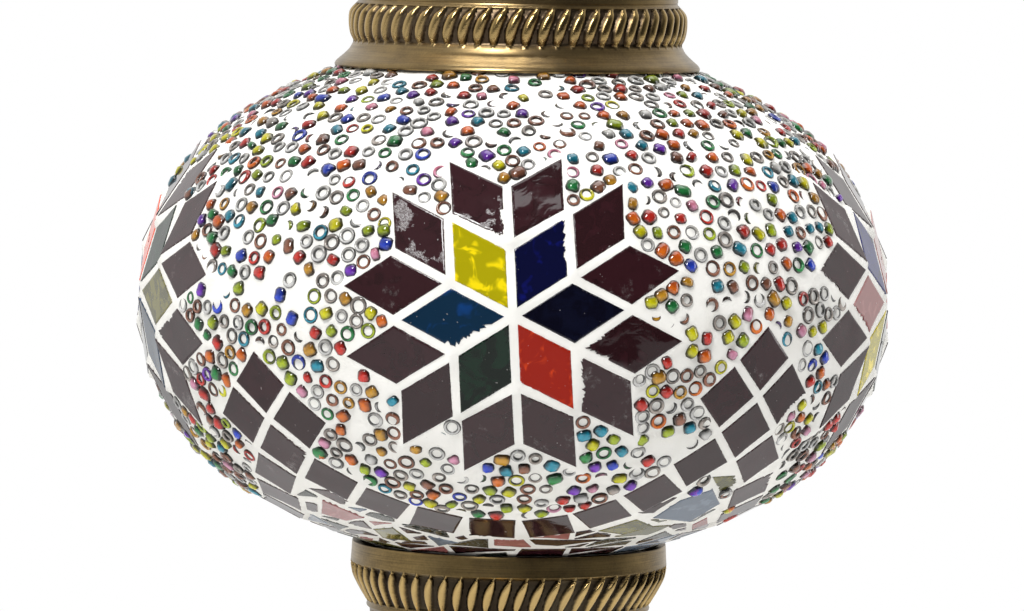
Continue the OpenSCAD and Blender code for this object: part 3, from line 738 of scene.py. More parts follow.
def bead_glass(name, colour, clear=0.6):
    """Pressed bead glass with painted shade and light: a painted dark rim where it dips into the grout, and a painted
    glow on its lower side.

    The mark 'lift' is 0 where the bead goes under and 1 at its top, the glow mark is 0 on its upper side
    and 1 on its lower side, where the painted glow stands for light gathering in the glass, and 'tile' is random.
    """
    f = Finish(name, ior=1.5, transmission_weight=clear, coat_weight=0.3, coat_roughness=0.03)
    cloud = f.noise(1.3, 2.0)
    # Painted shade: the colour darkens towards where the bead goes under the grout, a painted dark rim in place of
    # refraction.
    lift = (f.mark("lift") + (cloud - 0.5) * 0.30).step(0.28, 0.98)
    # Painted light: a brighter copy of the colour on the bead's lower side and a darker copy on its upper side, in
    # place of light passing through the glass.
    glow = (f.mark("glow") + (cloud - 0.5) * 0.7).step(0.22, 0.72)
    body = f.mix(f.mark("tile") * 0.45, colour, scaled(colour, 0.45))
    lit = f.mix(glow, f.mix(0.32, body, scaled(colour, 0.20)), f.mix(0.6, body, scaled(colour, 1.9)))
    f.feed("Base Color", f.mix(lift, tuple(0.05 * c + 0.006 for c in colour), lit))
    f.feed("Roughness", 0.04 + cloud * 0.05)
    f.bump(f.noise(0.7, 2.0), 0.15, 0.05)
    return f.material


def clear_glass(name, tone=(0.96, 0.97, 0.95), rough=0.02):
    """Clear blown glass with faint seeds and waves."""
    f = Finish(name, ior=1.5, transmission_weight=1.0, base_color=tone)
    waves = f.noise(9.0, 2.0)
    f.feed("Roughness", rough + waves * 0.03)
    f.bump(waves, 0.1, 0.3)
    return f.material


def phosphor(name):
    """Yellow phosphor on a filament."""
    f = Finish(name)
    grain = f.noise(0.3)
    f.feed("Base Color", f.mix(grain, (0.85, 0.50, 0.06), (0.72, 0.38, 0.03)))
    f.feed("Roughness", 0.5 + grain * 0.2)
    f.bump(grain, 0.4, 0.05)
    return f.material


# ---------------------------------------------------------------- putting pieces in place


# The collection of a slot's pieces, which the studio's lights are linked to or kept off
LIT_AS = {"antique_brass": "metal", "grout": "chalk", "clear_glass": "chalk"}


def dress(piece, material, slot, body="lamp", stands_for=()):
    """Gives a new piece its material, the body it rides on and the nodes it replaces.

    The slot chooses the collection it joins, and so which of the linked lights reach it.
    """
    if slot in LIT_AS:
        bpy.data.collections[LIT_AS[slot]].objects.link(piece)
    piece.data.materials.clear()
    piece.data.materials.append(material)
    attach(piece, body)
    if stands_for:
        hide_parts(*stands_for)
    return piece


def paint(node, material):
    """Gives a CAD node its material."""
    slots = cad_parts[node].material_slots
    if not slots:
        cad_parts[node].data.materials.append(material)
    for one in slots:
        one.material = material


def tile_nodes():
    """Each tile node with the colour that it is made of."""
    named = [(f"petals_{colour}", colour) for colour in PETALS]
    named += [(node, "plum") for node in PLUM_NODES]
    return named + [(f"shards_{colour}", colour) for colour in SHARDS]


def mosaic():
    """The globe, its tiles by node, the fragments by colour, and all of them in one list."""
    return mosaic_of(known(settings().globe))


@functools.lru_cache(maxsize=1)
def mosaic_of(sizes):
    """The mosaic for some sizes, worked out once."""
    globe = Globe(sizes)
    by_node = {node: [Tile(points, globe) for points in solids(node)] for node, _ in tile_nodes()}
    broken = fragments(globe, by_node, sizes)
    return globe, by_node, broken, sum(by_node.values(), []) + sum(broken.values(), [])


# ---------------------------------------------------------------- tiles

# Deep colour, lighter streak, how streaky, how frosty, how shiny
TILE_COLOURS = {
    "royal_blue": ((0.0025, 0.0035, 0.032), (0.006, 0.010, 0.20), 0.2, 0.12, 0.4),
    "navy": ((0.003, 0.003, 0.010), (0.006, 0.008, 0.026), 0.05, 0.1, 0.4),
    "orange": ((0.36, 0.011, 0.001), (0.80, 0.060, 0.003), 0.6, 0.1, 0.2),
    "green": ((0.0025, 0.0080, 0.0045), (0.004, 0.026, 0.012), 0.35, 0.15, 0.3),
    "steel_blue": ((0.005, 0.026, 0.060), (0.006, 0.055, 0.24), 0.4, 0.12, 0.4),
    "yellow": ((0.42, 0.36, 0.003), (0.95, 0.74, 0.006), 0.75, 0.10, 0.3),
    "olive": ((0.075, 0.070, 0.014), (0.20, 0.18, 0.035), 0.4, 0.3, 0.5),
    "pink": ((0.30, 0.10, 0.095), (0.42, 0.17, 0.16), 0.3, 0.45, 0.5),
    "plum": ((0.024, 0.0065, 0.0085), (0.040, 0.010, 0.014), 0.2, 0.34, 0.45),
    "dark": ((0.009, 0.014, 0.009), (0.026, 0.036, 0.026), 0.2, 0.6, 0.5),
    "blue_grey": ((0.10, 0.135, 0.19), (0.19, 0.24, 0.31), 0.3, 0.5, 0.5),
}

# Share of the fragments under the garland by colour
FRAGMENT_COLOURS = {"plum": 0.42, "dark": 0.22, "olive": 0.13, "pink": 0.14, "blue_grey": 0.09}
# Smallest area of a fragment, and smallest share of its girth squared
CRUMB, SLIVER = 5.0 * MM**2, 0.032
# Row height and cell width of each round of fragments
FRAGMENT_GRIDS = ((7.2 * MM, 12.5 * MM), (5.4 * MM, 8.5 * MM), (4.0 * MM, 6.0 * MM))


def garland_line(globe, by_node):
    """Arc length of the garland's lowest tile near each whole degree of azimuth."""
    places = [globe.where(tile.centre) for node in PLUM_NODES[1:] for tile in by_node[node]]
    azimuth, s = np.array(places).T
    degrees = np.radians(np.arange(360))[:, None]
    apart = np.abs((azimuth - degrees + math.pi) % TAU - math.pi)
    return np.where(apart < math.radians(9), s, 0).min(axis=1)


def fragments(globe, by_node, sizes):
    """Broken pieces that fill the space under the garland, by colour.

    A grid of unequal cells is cut into four-sided and three-sided pieces with shaken corners,
    and each is cut back where it would touch a tile. Finer grids then fill what is still bare.
    """
    random = np.random.default_rng(21)
    line = garland_line(globe, by_node)
    laid = sum(by_node.values(), [])
    colours = list(FRAGMENT_COLOURS)
    found = {colour: [] for colour in colours}
    grids = [(low, row_h, cell_w) for row_h, cell_w in FRAGMENT_GRIDS
             for low in np.arange(globe.s_low + 1.5 * MM, -38 * MM, row_h)]
    for row, (low, row_h, cell_w) in enumerate(grids):
        count = int(TAU * float(globe.radius(low + row_h / 2)) / cell_w)
        marks = (np.arange(count) + 0.5 * (row % 2) + random.uniform(-0.22, 0.22, count)) * TAU / count
        tops = (np.arange(count) + 0.5 * (row % 2) + random.uniform(-0.22, 0.22, count)) * TAU / count
        for i in range(count):
            j = (i + 1) % count
            turn = TAU if j == 0 else 0
            quad = np.array([(marks[i], low), (marks[j] + turn, low), (tops[j] + turn, low + row_h),
                             (tops[i], low + row_h)])
            cut = random.random()
            parts = [quad] if cut < 0.55 else [quad[[0, 1, 2]], quad[[0, 2, 3]]]
            for part in parts:
                colour = random.choice(len(colours), p=list(FRAGMENT_COLOURS.values()))
                middle = part.mean(axis=0)
                if middle[1] > line[int(np.degrees(middle[0])) % 360] - 4 * MM:
                    continue
                tile = fitted(part, globe, laid, sizes)
                if tile is not None:
                    found[colours[colour]].append(tile)
                    laid.append(tile)
    return found


def cut_back(shape, point, away):
    """What is left of a convex outline on the side of a line that a direction points to."""
    side = (shape - point) @ away
    left = []
    for here, there, a, b in zip(shape, np.roll(shape, -1, 0), side, np.roll(side, -1)):
        if a >= 0:
            left.append(here)
        if a * b < 0:
            left.append(here + a / (a - b) * (there - here))
    return np.array(left).reshape(-1, 2)


def area(shape):
    """Area inside an outline, by the shoelace rule."""
    x, y = shape.T
    return 0.5 * abs(x @ np.roll(y, -1) - y @ np.roll(x, -1))


def fitted(places, globe, laid, sizes):
    """A convex piece over some places, cut back to keep a joint from every tile near it.

    Each near tile cuts it along the one of its own sides that leaves the most. Crumbs and slivers
    are left out.
    """
    tile = Tile.from_places(places[:, 0], places[:, 1], globe, sizes.tile_depth)
    shape = tile.outline
    apart = np.linalg.norm(np.array([other.centre for other in laid]) - tile.centre, axis=1)
    for number in np.flatnonzero(apart < 24 * MM):
        edge = tile.flat(laid[number].corners())
        side = np.roll(edge, -1, 0) - edge
        away = np.stack([side[:, 1], -side[:, 0]], -1) / np.linalg.norm(side, axis=1)[:, None]
        cuts = [cut_back(shape, corner + 0.7 * sizes.joint * out, out) for corner, out in zip(edge, away)]
        shape = max(cuts, key=area)
        girth = np.linalg.norm(shape - np.roll(shape, 1, 0), axis=1).sum()
        if area(shape) < max(CRUMB, SLIVER * girth**2):
            return None
    top = tile.centre + shape[:, :1] * tile.u + shape[:, 1:] * tile.v
    return Tile(np.concatenate([top, top - sizes.tile_depth * tile.normal]), globe)


def tile_sheet(tile, random, sizes):
    """Grid of one tile: its outline walked round in short steps, in rings from rim to middle.

    A ring is the outline drawn in towards the middle by a distance, with its height: the rim is
    rounded over the bevel, and chips bite into it where noise along the outline is high. The last
    rings close the face and the underside at the middle.
    """
    corners = tile.outline
    step = 0.45 * MM
    rim = fine(corners, step)
    ragged = random.random(len(rim))
    ragged = 0.5 * ragged + 0.25 * (np.roll(ragged, 1) + np.roll(ragged, -1))
    around_rim = np.arange(len(rim)) / len(rim)
    jagged = (np.abs((around_rim - random.random() + 0.5) % 1 - 0.5) < 0.11) * (random.random() < 0.22)
    bite = sizes.tile_chip * (0.3 * ragged + 3.4 * jagged * random.random(len(rim)))
    away = np.linalg.norm(rim, axis=1)
    inward = -rim / away[:, None]
    bevel = sizes.tile_bevel
    insets = [0.0, 0.0, 0.3 * bevel, bevel, 3 * bevel]
    levels = [-tile.thickness, -bevel - bite * 0.5, -0.35 * bevel, 0.0, 0.0]
    edges = [1.0, 1.0, 1.0, 0.8, 0.2]
    rings = [np.zeros((len(rim), 2))]
    depth, edge = [np.full(len(rim), -tile.thickness)], [1.0]
    for inset, level, mark in zip(insets, levels, edges):
        rings.append(rim + inward * (inset + bite)[:, None])
        depth.append(level + np.zeros(len(rim)))
        edge.append(mark)
    for share in (0.66, 0.33, 0.0):
        rings.append(rim * share)
        depth.append(np.zeros(len(rim)))
        edge.append(0.0)
    flat, level = np.stack(rings), np.stack(depth)
    sag = 0.05 * MM * soft_noise(np.concatenate([flat, level[..., None]], -1) + tile.centre, 5 * MM)
    level = level + sag * (level > -2 * bevel)
    points = tile.centre + flat[..., :1] * tile.u + flat[..., 1:] * tile.v + level[..., None] * tile.normal
    marks = np.repeat(np.array(edge)[:, None], len(rim), 1)
    return points, marks


class LAMP_OT_tiles(bpy.types.Operator):
    """Lay the flat glass tiles of the flowers, the garland and the broken pieces"""

    bl_idname = "lamp.tiles"
    bl_label = "Tiles"

    def execute(self, context):
        sizes = settings().globe
        random = np.random.default_rng(3)
        _, by_node, broken, _ = mosaic()
        finishes = {
            colour: sheet_glass(f"{colour}_glass", *look, crackle=colour == "dark")
            for colour, look in TILE_COLOURS.items()
        }
        for node, colour in tile_nodes():
            piece = self.lay(f"mosaic_{node}", by_node[node], random, sizes)
            dress(piece, finishes[colour], f"{colour}_glass", stands_for=(node,))
        for colour, tiles in broken.items():
            piece = self.lay(f"mosaic_fragments_{colour}", tiles, random, sizes)
            dress(piece, finishes[colour], f"{colour}_glass")
        return {"FINISHED"}

    @staticmethod
    def lay(name, tiles, random, sizes):
        """One piece from all the tiles of a node."""
        points, faces, edge, number, count = [], [], [], [], 0
        for tile in tiles:
            grid, marks = tile_sheet(tile, random, sizes)
            rows, columns = marks.shape
            faces.append(grid_faces(rows, columns, False) + count)
            points.append(grid.reshape(-1, 3))
            edge.append(marks.ravel())
            number.append(np.full(rows * columns, random.random()))
            count += rows * columns
        marks = {"edge": np.concatenate(edge), "tile": np.concatenate(number)}
        return put_mesh(name, np.concatenate(points), np.concatenate(faces), 50.0, marks)


# ---------------------------------------------------------------- beads

# Linear colour, share of the beads on their side, share of the rings, see-through
BEAD_COLOURS = {
    "clear": ((0.80, 0.78, 0.74), 0.02, 0.30, 0.35),
    "smoke": ((0.42, 0.37, 0.33), 0.03, 0.22, 0.35),
    "brown": ((0.27, 0.105, 0.060), 0.06, 0.16, 0.3),
    "red": ((0.60, 0.028, 0.018), 0.14, 0.05, 0.25),
    "orange": ((0.85, 0.14, 0.010), 0.13, 0.04, 0.25),
    "amber": ((0.62, 0.28, 0.020), 0.09, 0.04, 0.3),
    "yellow": ((0.85, 0.76, 0.008), 0.14, 0.03, 0.3),
    "lime": ((0.36, 0.46, 0.012), 0.09, 0.03, 0.3),
    "green": ((0.020, 0.22, 0.055), 0.07, 0.06, 0.25),
    "teal": ((0.020, 0.27, 0.38), 0.07, 0.02, 0.3),
    "royal": ((0.020, 0.055, 0.50), 0.05, 0.02, 0.2),
    "purple": ((0.17, 0.030, 0.46), 0.06, 0.01, 0.25),
    "pink": ((0.88, 0.27, 0.40), 0.05, 0.02, 0.3),
}
RING, BARREL, SUNK = range(3)
# By kind: share of all beads, mean lean and its spread, how far it stands out of the glass
KIND_SHARES = (0.45, 0.43, 0.12)
KIND_LEANS = ((0, 0.13), (math.pi / 2, 0.12), (0.42, 0.10))
KIND_PROUD = (0.55, 1.10, 0.60)
RING_COLUMNS, BARREL_COLUMNS = 16, 12
# First jitter of a bead's place, and rounds in which the beads push each other
JITTER, ROUNDS = 0.95 * MM, 14


def bead_form(r, z, columns):
    """Points turned about Z from the radii and heights of a section."""
    a = np.arange(columns) * TAU / columns
    return np.stack([r[:, None] * np.cos(a), r[:, None] * np.sin(a), z[:, None] + 0 * a], -1).reshape(-1, 3)


def ring_form(sizes):
    """Points and quads of a ring bead, its hole along Z.

    The wall's section is an oval with most of its points on the upper half, where it shows.
    """
    angle = np.radians([-90, 10, 45, 90, 135, 170])
    middle, half = (sizes.radius + sizes.hole) / 2, (sizes.radius - sizes.hole) / 2
    points = bead_form(middle + half * np.cos(angle), sizes.height / 2 * np.sin(angle), RING_COLUMNS)
    return points, grid_faces(len(angle), RING_COLUMNS, True)


def barrel_form(sizes):
    """Points and quads of a bead on its side: a barrel along Z with rounded, dimpled ends."""
    share = np.array([(-0.80, 0.0), (-1.0, 0.45), (-0.92, 0.76), (-0.52, 0.97), (0.52, 0.97), (0.92, 0.76),
                      (1.0, 0.45), (0.80, 0.0)])
    points = bead_form(share[:, 1] * sizes.radius, share[:, 0] * sizes.height * 0.62, BARREL_COLUMNS)
    return points, grid_faces(len(share), BARREL_COLUMNS, False)


def scatter(globe, tiles, sizes, random):
    """Azimuths and arc lengths of the beads.

    They start on a staggered grid with jitter, and for some rounds push each other and the tiles
    away. Those that still lie too near a tile or the brass are left out, and a few more here and
    there.
    """
    margin = 2.3 * MM
    row = sizes.spacing * math.sqrt(3) / 2
    azimuths, arcs = [], []
    for i, s in enumerate(np.arange(globe.s_low + 3 * MM, globe.s_high - margin, row)):
        count = int(round(TAU * float(globe.radius(s)) / sizes.spacing))
        azimuths.append((np.arange(count) + 0.5 * (i % 2)) * TAU / count)
        arcs.append(np.full(count, s))
    azimuth, s = np.concatenate(azimuths), np.concatenate(arcs)
    radius = globe.radius(s)
    azimuth = azimuth + random.normal(0, JITTER, len(s)) / radius
    s = s + random.normal(0, JITTER, len(s))
    keep_off = sizes.radius + 0.35 * MM
    for _ in range(ROUNDS):
        point, _, east, north = globe.place(azimuth, s)
        square = (point**2).sum(1)
        apart = square[:, None] + square[None] - 2 * point @ point.T
        np.fill_diagonal(apart, 1.0)
        apart = np.sqrt(np.maximum(apart, 1e-12))
        push = np.clip(sizes.spacing * 0.9 / apart - 1, 0, 0.6) * 0.28
        move = push.sum(1)[:, None] * point - push @ point
        probe = 0.3 * MM
        gap, _ = gap_to_tiles(point, tiles, globe)
        gap_e, _ = gap_to_tiles(point + east * probe, tiles, globe)
        gap_n, _ = gap_to_tiles(point + north * probe, tiles, globe)
        shove = np.clip(keep_off - gap, 0, 1.2 * MM) * (gap > -1.6 * MM)
        move = move + (gap_e - gap)[:, None] / probe * shove[:, None] * east
        move = move + (gap_n - gap)[:, None] / probe * shove[:, None] * north
        azimuth = azimuth + (move * east).sum(1) / globe.radius(s)
        s = s + (move * north).sum(1)
    point, _, _, _ = globe.place(azimuth, s)
    gap, _ = gap_to_tiles(point, tiles, globe)
    good = (gap > sizes.radius - 0.25 * MM) & (s > globe.s_low + 2 * MM) & (s < globe.s_high - 1.5 * MM)
    good &= random.random(len(s)) > 0.03 + 0.35 * (soft_noise(point, 8 * MM, 5) > 0.55)
    return azimuth[good], s[good]


def turned_by(axis, angle):
    """Rotation matrices about unit axes by angles, by Rodrigues' formula."""
    x, y, z = axis.T
    zero = np.zeros(len(x))
    cross = np.stack([zero, -z, y, z, zero, -x, -y, x, zero], -1).reshape(-1, 3, 3)
    s, c = np.sin(angle)[:, None, None], np.cos(angle)[:, None, None]
    return np.eye(3) + s * cross + (1 - c) * cross @ cross


def laid_beads():
    """The beads for the present settings."""
    return beads_of(known(settings().beads), known(settings().globe))


@functools.lru_cache(maxsize=1)
def beads_of(sizes, globe_sizes):
    """Where each bead lies, how it is turned and scaled, how far it stands out, colour and kind.

    They all lie above the garland.
    A ring faces outwards with a slight lean, a barrel lies on its side, and a sunk ring is tipped
    so that only a crescent shows.
    """
    globe, by_node, _, tiles = mosaic_of(globe_sizes)
    random = np.random.default_rng(sizes.seed)
    azimuth, s = scatter(globe, tiles, sizes, random)
    line = garland_line(globe, by_node)
    above = s > line[np.degrees(azimuth).astype(int) % 360] - 1 * MM
    azimuth, s = azimuth[above], s[above]
    count = len(s)
    point, normal, east, north = globe.place(azimuth, s)
    kind = random.choice(3, count, p=KIND_SHARES)
    on_side, as_ring = np.array([look[1:3] for look in BEAD_COLOURS.values()]).T
    side_pick = random.choice(len(on_side), count, p=on_side / on_side.sum())
    ring_pick = random.choice(len(as_ring), count, p=as_ring / as_ring.sum())
    colour = np.where(kind == BARREL, side_pick, ring_pick)
    heading = random.random(count) * TAU
    lean_axis = np.cos(heading)[:, None] * east + np.sin(heading)[:, None] * north
    lean = np.choose(kind, [random.normal(mean, spread, count) for mean, spread in KIND_LEANS])
    turn = turned_by(lean_axis, lean) @ np.stack([east, north, normal], -1)
    wide = random.normal(1.0, 0.08, count).clip(0.8, 1.22)
    long = np.where(kind == BARREL, random.normal(1.05, 0.14, count), 1.0).clip(0.75, 1.7)
    proud = np.choose(kind, KIND_PROUD) * MM + random.normal(0, 0.09 * MM, count)
    reach_out = np.choose(kind, [sizes.height / 2, sizes.radius, sizes.height / 2 + 0.35 * sizes.radius]) * wide
    centre = point + normal * (proud - reach_out)[:, None]
    return centre, normal, turn, np.stack([wide, wide, wide * long], -1), proud, reach_out, colour, kind


class LAMP_OT_beads(bpy.types.Operator):
    """Press the glass beads into the grout, one piece for each colour and kind"""

    bl_idname = "lamp.beads"
    bl_label = "Beads"

    def execute(self, context):
        sizes = settings().beads
        beads = laid_beads()
        colour, kind = beads[-2:]
        groups = (("rings", ring_form(sizes), kind != BARREL), ("barrels", barrel_form(sizes), kind == BARREL))
        for number, (name, (tone, _, _, clear)) in enumerate(BEAD_COLOURS.items()):
            finish = bead_glass(f"bead_{name}", tone, clear)
            for group, (form, faces), of_group in groups:
                mine = np.flatnonzero((colour == number) & of_group)
                dress(self.press(f"bead_{group}_{name}", form, faces, beads, mine), finish, "clear_glass")
        return {"FINISHED"}

    @staticmethod
    def press(name, form, faces, beads, mine):
        """One piece from copies of a bead's form. A point's lift is its share of the bead's height
        over the grout.
        """
        centre, normal, turn, stretch, proud, reach_out, _, _ = (one[mine] for one in beads)
        local = form[None] * stretch[:, None, :]
        offset = np.einsum("nij,nkj->nki", turn, local)
        height = np.einsum("nki,ni->nk", offset, normal) + (proud - reach_out)[:, None]
        lift = np.clip(height / proud[:, None], 0, 1)
        points = offset + centre[:, None, :]
        all_faces = faces[None] + np.arange(len(mine))[:, None, None] * len(form)
        shade = np.random.default_rng(len(mine)).random(len(mine))
        # Mark for the painted glow: 0 on the bead's upper side and 1 on its lower side; the lift mark sets the
        # painted dark rim.
        glow = 0.5 - offset[..., 2] / (2 * form.max())
        marks = {"lift": lift, "glow": glow.clip(0, 1), "tile": np.repeat(shade[:, None], len(form), 1)}
        return put_mesh(name, points.reshape(-1, 3), all_faces.reshape(-1, 4), 180.0, marks)


# ---------------------------------------------------------------- grout


# Columns and row height of the grout's mesh, and every how many rows its back has one
GROUT_COLUMNS, GROUT_ROW, BACK_ROWS = 460, 1.15 * MM, 6
# How high the grout stands round a bead, how far from the bead's centre, and how wide the bank is
BANK, BANK_AT, BANK_WIDE = 0.14 * MM, 2.0 * MM, 0.8 * MM
# Points of the grout whose distances to the beads are worked out at once
BLOCK = 6000


class LAMP_OT_grout(bpy.types.Operator):
    """Spread the grout between the tiles and round the beads"""

    bl_idname = "lamp.grout"
    bl_label = "Grout"

    def execute(self, context):
        sizes = settings().globe
        globe, _, _, tiles = mosaic()
        bead_centre = laid_beads()[0]
        arcs = np.linspace(globe.s_low, globe.s_high, int((globe.s_high - globe.s_low) / GROUT_ROW))
        azimuth = np.arange(GROUT_COLUMNS) * TAU / GROUT_COLUMNS
        a, s = np.meshgrid(azimuth, arcs)
        point, normal, _, _ = globe.place(a, s)
        flat = point.reshape(-1, 3)
        rough = sizes.grout_rough
        level = rough * (soft_noise(flat, 7 * MM, 1) + 0.5 * soft_noise(flat, 2.6 * MM, 2)) - 0.12 * MM
        level += self.banks(flat, bead_centre)
        gap, lift = gap_to_tiles(flat, tiles, globe)
        near = np.exp(-((np.clip(gap, 0, 1) / (1.6 * MM)) ** 2))
        flush = lift - 0.16 * MM
        level = level * (1 - near) + flush * near
        under = np.clip((-gap - 0.9 * MM) / (0.8 * MM), 0, 1)
        level -= under * 0.6 * MM
        ends = np.clip(np.minimum(s.ravel() - globe.s_low, globe.s_high - s.ravel()) / (2 * MM), 0, 1)
        level = level * ends
        outer = point + normal * level.reshape(s.shape)[..., None]
        a2, s2 = np.meshgrid(azimuth, arcs[::-BACK_ROWS])
        inner_point, inner_normal, _, _ = globe.place(a2, s2)
        inner = inner_point - inner_normal * sizes.grout_depth
        points = np.concatenate([outer, inner])
        # Greyer towards the bottom of the globe: 0 down to 55 mm of arc under the widest line, rising to 1 by 71 mm.
        grey_low_down = np.clip((-55 * MM - s) / (16 * MM), 0, 1)
        worn = np.concatenate([grey_low_down, np.zeros(a2.shape)])
        faces = grid_faces(len(points), GROUT_COLUMNS, True)
        piece = put_mesh("grout_surface", points.reshape(-1, 3), faces, 60.0, {"worn": worn})
        dress(piece, grout("grout"), "grout", stands_for=("grout_coat",))
        return {"FINISHED"}

    @staticmethod
    def banks(points, beads):
        """Height of the grout that wells up round each bead: a low ring where the bead's side is.

        The points are taken in blocks, and each block's distances to all beads at once.
        """
        out = np.empty(len(points))
        beads = beads.astype(np.float32)
        square = (beads**2).sum(1)
        for start in range(0, len(points), BLOCK):
            block = points[start : start + BLOCK].astype(np.float32)
            apart = (block**2).sum(1)[:, None] + square[None] - 2 * block @ beads.T
            nearest = np.sqrt(np.maximum(apart.min(1), 0))
            out[start : start + BLOCK] = BANK * np.exp(-(((nearest - BANK_AT) / BANK_WIDE) ** 2))
        return out


# ---------------------------------------------------------------- brass


# Columns of mesh across each lobe of the cap's ring and the cup
LOBE_COLUMNS = 12


def beside(anchor, *steps):
    """Points (r, z) at steps of millimetres from an anchor point."""
    return [(anchor[0] + r * MM, anchor[1] + z * MM) for r, z in steps]


def spun(node, finish, parts, columns=96, relief=None, worn=0.5, body="lamp"):
    """A turned brass piece that stands for a node, from the parts of its closed outline."""
    piece = turned(f"brass_{node}", np.concatenate(parts), columns, relief, worn)
    return dress(piece, finish, "antique_brass", body, (node,))


class LAMP_OT_cap(bpy.types.Operator):
    """Make the brass cap: collar with its roped ring, pierced dome and finial"""

    bl_idname = "lamp.cap"
    bl_label = "Cap"

    def execute(self, context):
        finish = antique_brass("antique_brass_cap")
        self.collar(settings().brass, finish)
        self.dome(finish)
        self.finial_base(finish)
        self.finial(finish)
        return {"FINISHED"}

    @staticmethod
    def collar(brass, finish):
        """Skirt, waist, roped ring and fillet, with a plain wall inside."""
        low, high = heights("cap_collar")
        inner, top_r = reach("cap_collar", high)
        skirt = reach("cap_collar")[1]
        rope, rope_r = low + 10.5 * MM, top_r + 2.2 * MM
        waist = rope_r - 1.1 * MM
        lower = bent(
            beside((skirt, low), (-0.1, 0), (0, 0.5), (-0.5, 1.3), (-1.9, 2.5))
            + beside((waist, low), (0.8, 3.9), (0, 5.3)),
            26,
        )
        upper = bent(
            beside((waist, low), (0, 5.9))
            + beside((rope_r, rope), (-0.35, -3.0), (0, -0.6), (-0.25, 2.0))
            + beside((top_r, rope), (0.4, 3.9))
            + beside((top_r, high), (0, -0.5), (-0.2, 0)),
            38,
        )
        inside = fine(
            [(inner, high), *beside((inner, low), (0, 5)), *beside((skirt, low), (-3.8, 3), (-1.2, 1), (-1.2, 0))],
            4 * MM,
            closed=False,
        )
        lobes = Lobes(brass.rope_lobes, rope - 4.8 * MM, rope + 3.8 * MM, brass.lobe_depth, 0.75, 0.78, 0.45, 0.22,
                      inner + 0.5 * MM)
        spun("cap_collar", finish, (lower, upper, inside), brass.rope_lobes * LOBE_COLUMNS, lobes, 0.42, "cap")

    @staticmethod
    def dome(finish):
        """Upright band, round crown with a flat top, and two rings of round vents cut through."""
        low, high = heights("cap_dome")
        inner, wide = reach("cap_dome", low)
        flat, spring = 7 * MM, low + 3 * MM
        angle = np.radians(np.linspace(0, 82, 30))
        crown = np.stack([flat + (wide - flat) * np.cos(angle), spring + (high - spring) * np.sin(angle)], -1)
        outer = np.concatenate([[(wide, low), (wide, low + 1.5 * MM)], crown, [(flat, high), (4.5 * MM, high)]])
        piece = spun("cap_dome", finish, (walled(outer, wide - inner),), 192, None, 0.45, "cap")
        cutters = []
        for row, (count, lift, size) in enumerate(((12, 24, 2.2), (12, 46, 1.8))):
            for i in range(count):
                turn = Matrix.Rotation(TAU * (i + 0.5 * row) / count, 4, "Z")
                tip = Matrix.Rotation(math.radians(90 - lift), 4, "Y")
                shift = Matrix.Translation((0, 0, wide - 1 * MM))
                cutters.append((Matrix.Translation((0, 0, spring)) @ turn @ tip @ shift, size * MM))
        pierce(piece, cutters, 30 * MM)

    @staticmethod
    def finial_base(finish):
        """Flanged foot of the finial."""
        low, high = heights("finial_base")
        hole, wide = 2.2 * MM, reach("finial_base")[1]
        rise = high - low
        side = [(wide - 2 * MM, low), (wide, low + 0.28 * rise), (wide - 0.5 * MM, low + 0.7 * rise),
                (wide - 3 * MM, high)]
        spun("finial_base", finish, (bent(side, 14), [(hole, high), (hole, low)]), 72, None, 0.6, "cap")

    @staticmethod
    def finial(finish):
        """Leaning-lobed knob on a neck, with a point."""
        low, high = heights("finial")
        knob = low + 0.42 * (high - low)
        radius = reach("finial")[1]
        angle = np.radians(np.linspace(-62, 68, 22))
        ball = np.stack([radius * np.cos(angle), knob + radius * np.sin(angle)], -1)
        neck = beside((0, low), (5.5, 0.4), (4.0, 1.7), (3.3, 4))
        point = beside((0, knob + radius), (2.4, 0), (1.6, 2.5)) + beside((0, high), (0.9, -1.2), (0, 0))
        parts = (beside((0, low), (2.1, 0), (5.4, 0)), bent(neck, 10), ball, bent(point, 12),
                 beside((0, low), (0, 8), (2.1, 8)))
        lobes = Lobes(14, knob - radius * 0.8, knob + radius * 0.8, 0.5 * MM, 0.5, 0.9, 0.5, 0, 3.5 * MM)
        spun("finial", finish, parts, 168, lobes, 0.6, "cap")


def pierce(piece, places, depth, segments=28):
    """Cuts round holes through a piece. A place is a matrix whose Z is the hole's axis, and a radius."""
    form = bmesh.new()
    for matrix, radius in places:
        bmesh.ops.create_cone(
            form, cap_ends=True, segments=segments, radius1=radius, radius2=radius, depth=depth, matrix=matrix
        )
    mesh = bpy.data.meshes.new("cutters")
    form.to_mesh(mesh)
    form.free()
    cutter = bpy.data.objects.new("cutters", mesh)
    bpy.context.scene.collection.objects.link(cutter)
    cut = piece.modifiers.new("vents", "BOOLEAN")
    cut.object, cut.operation, cut.solver = cutter, "DIFFERENCE", "EXACT"
    bpy.context.view_layer.objects.active = piece
    bpy.ops.object.modifier_apply(modifier=cut.name)
    bpy.data.objects.remove(cutter)
    piece.data.shade_smooth()
    piece.data.set_sharp_from_angle(angle=math.radians(35))


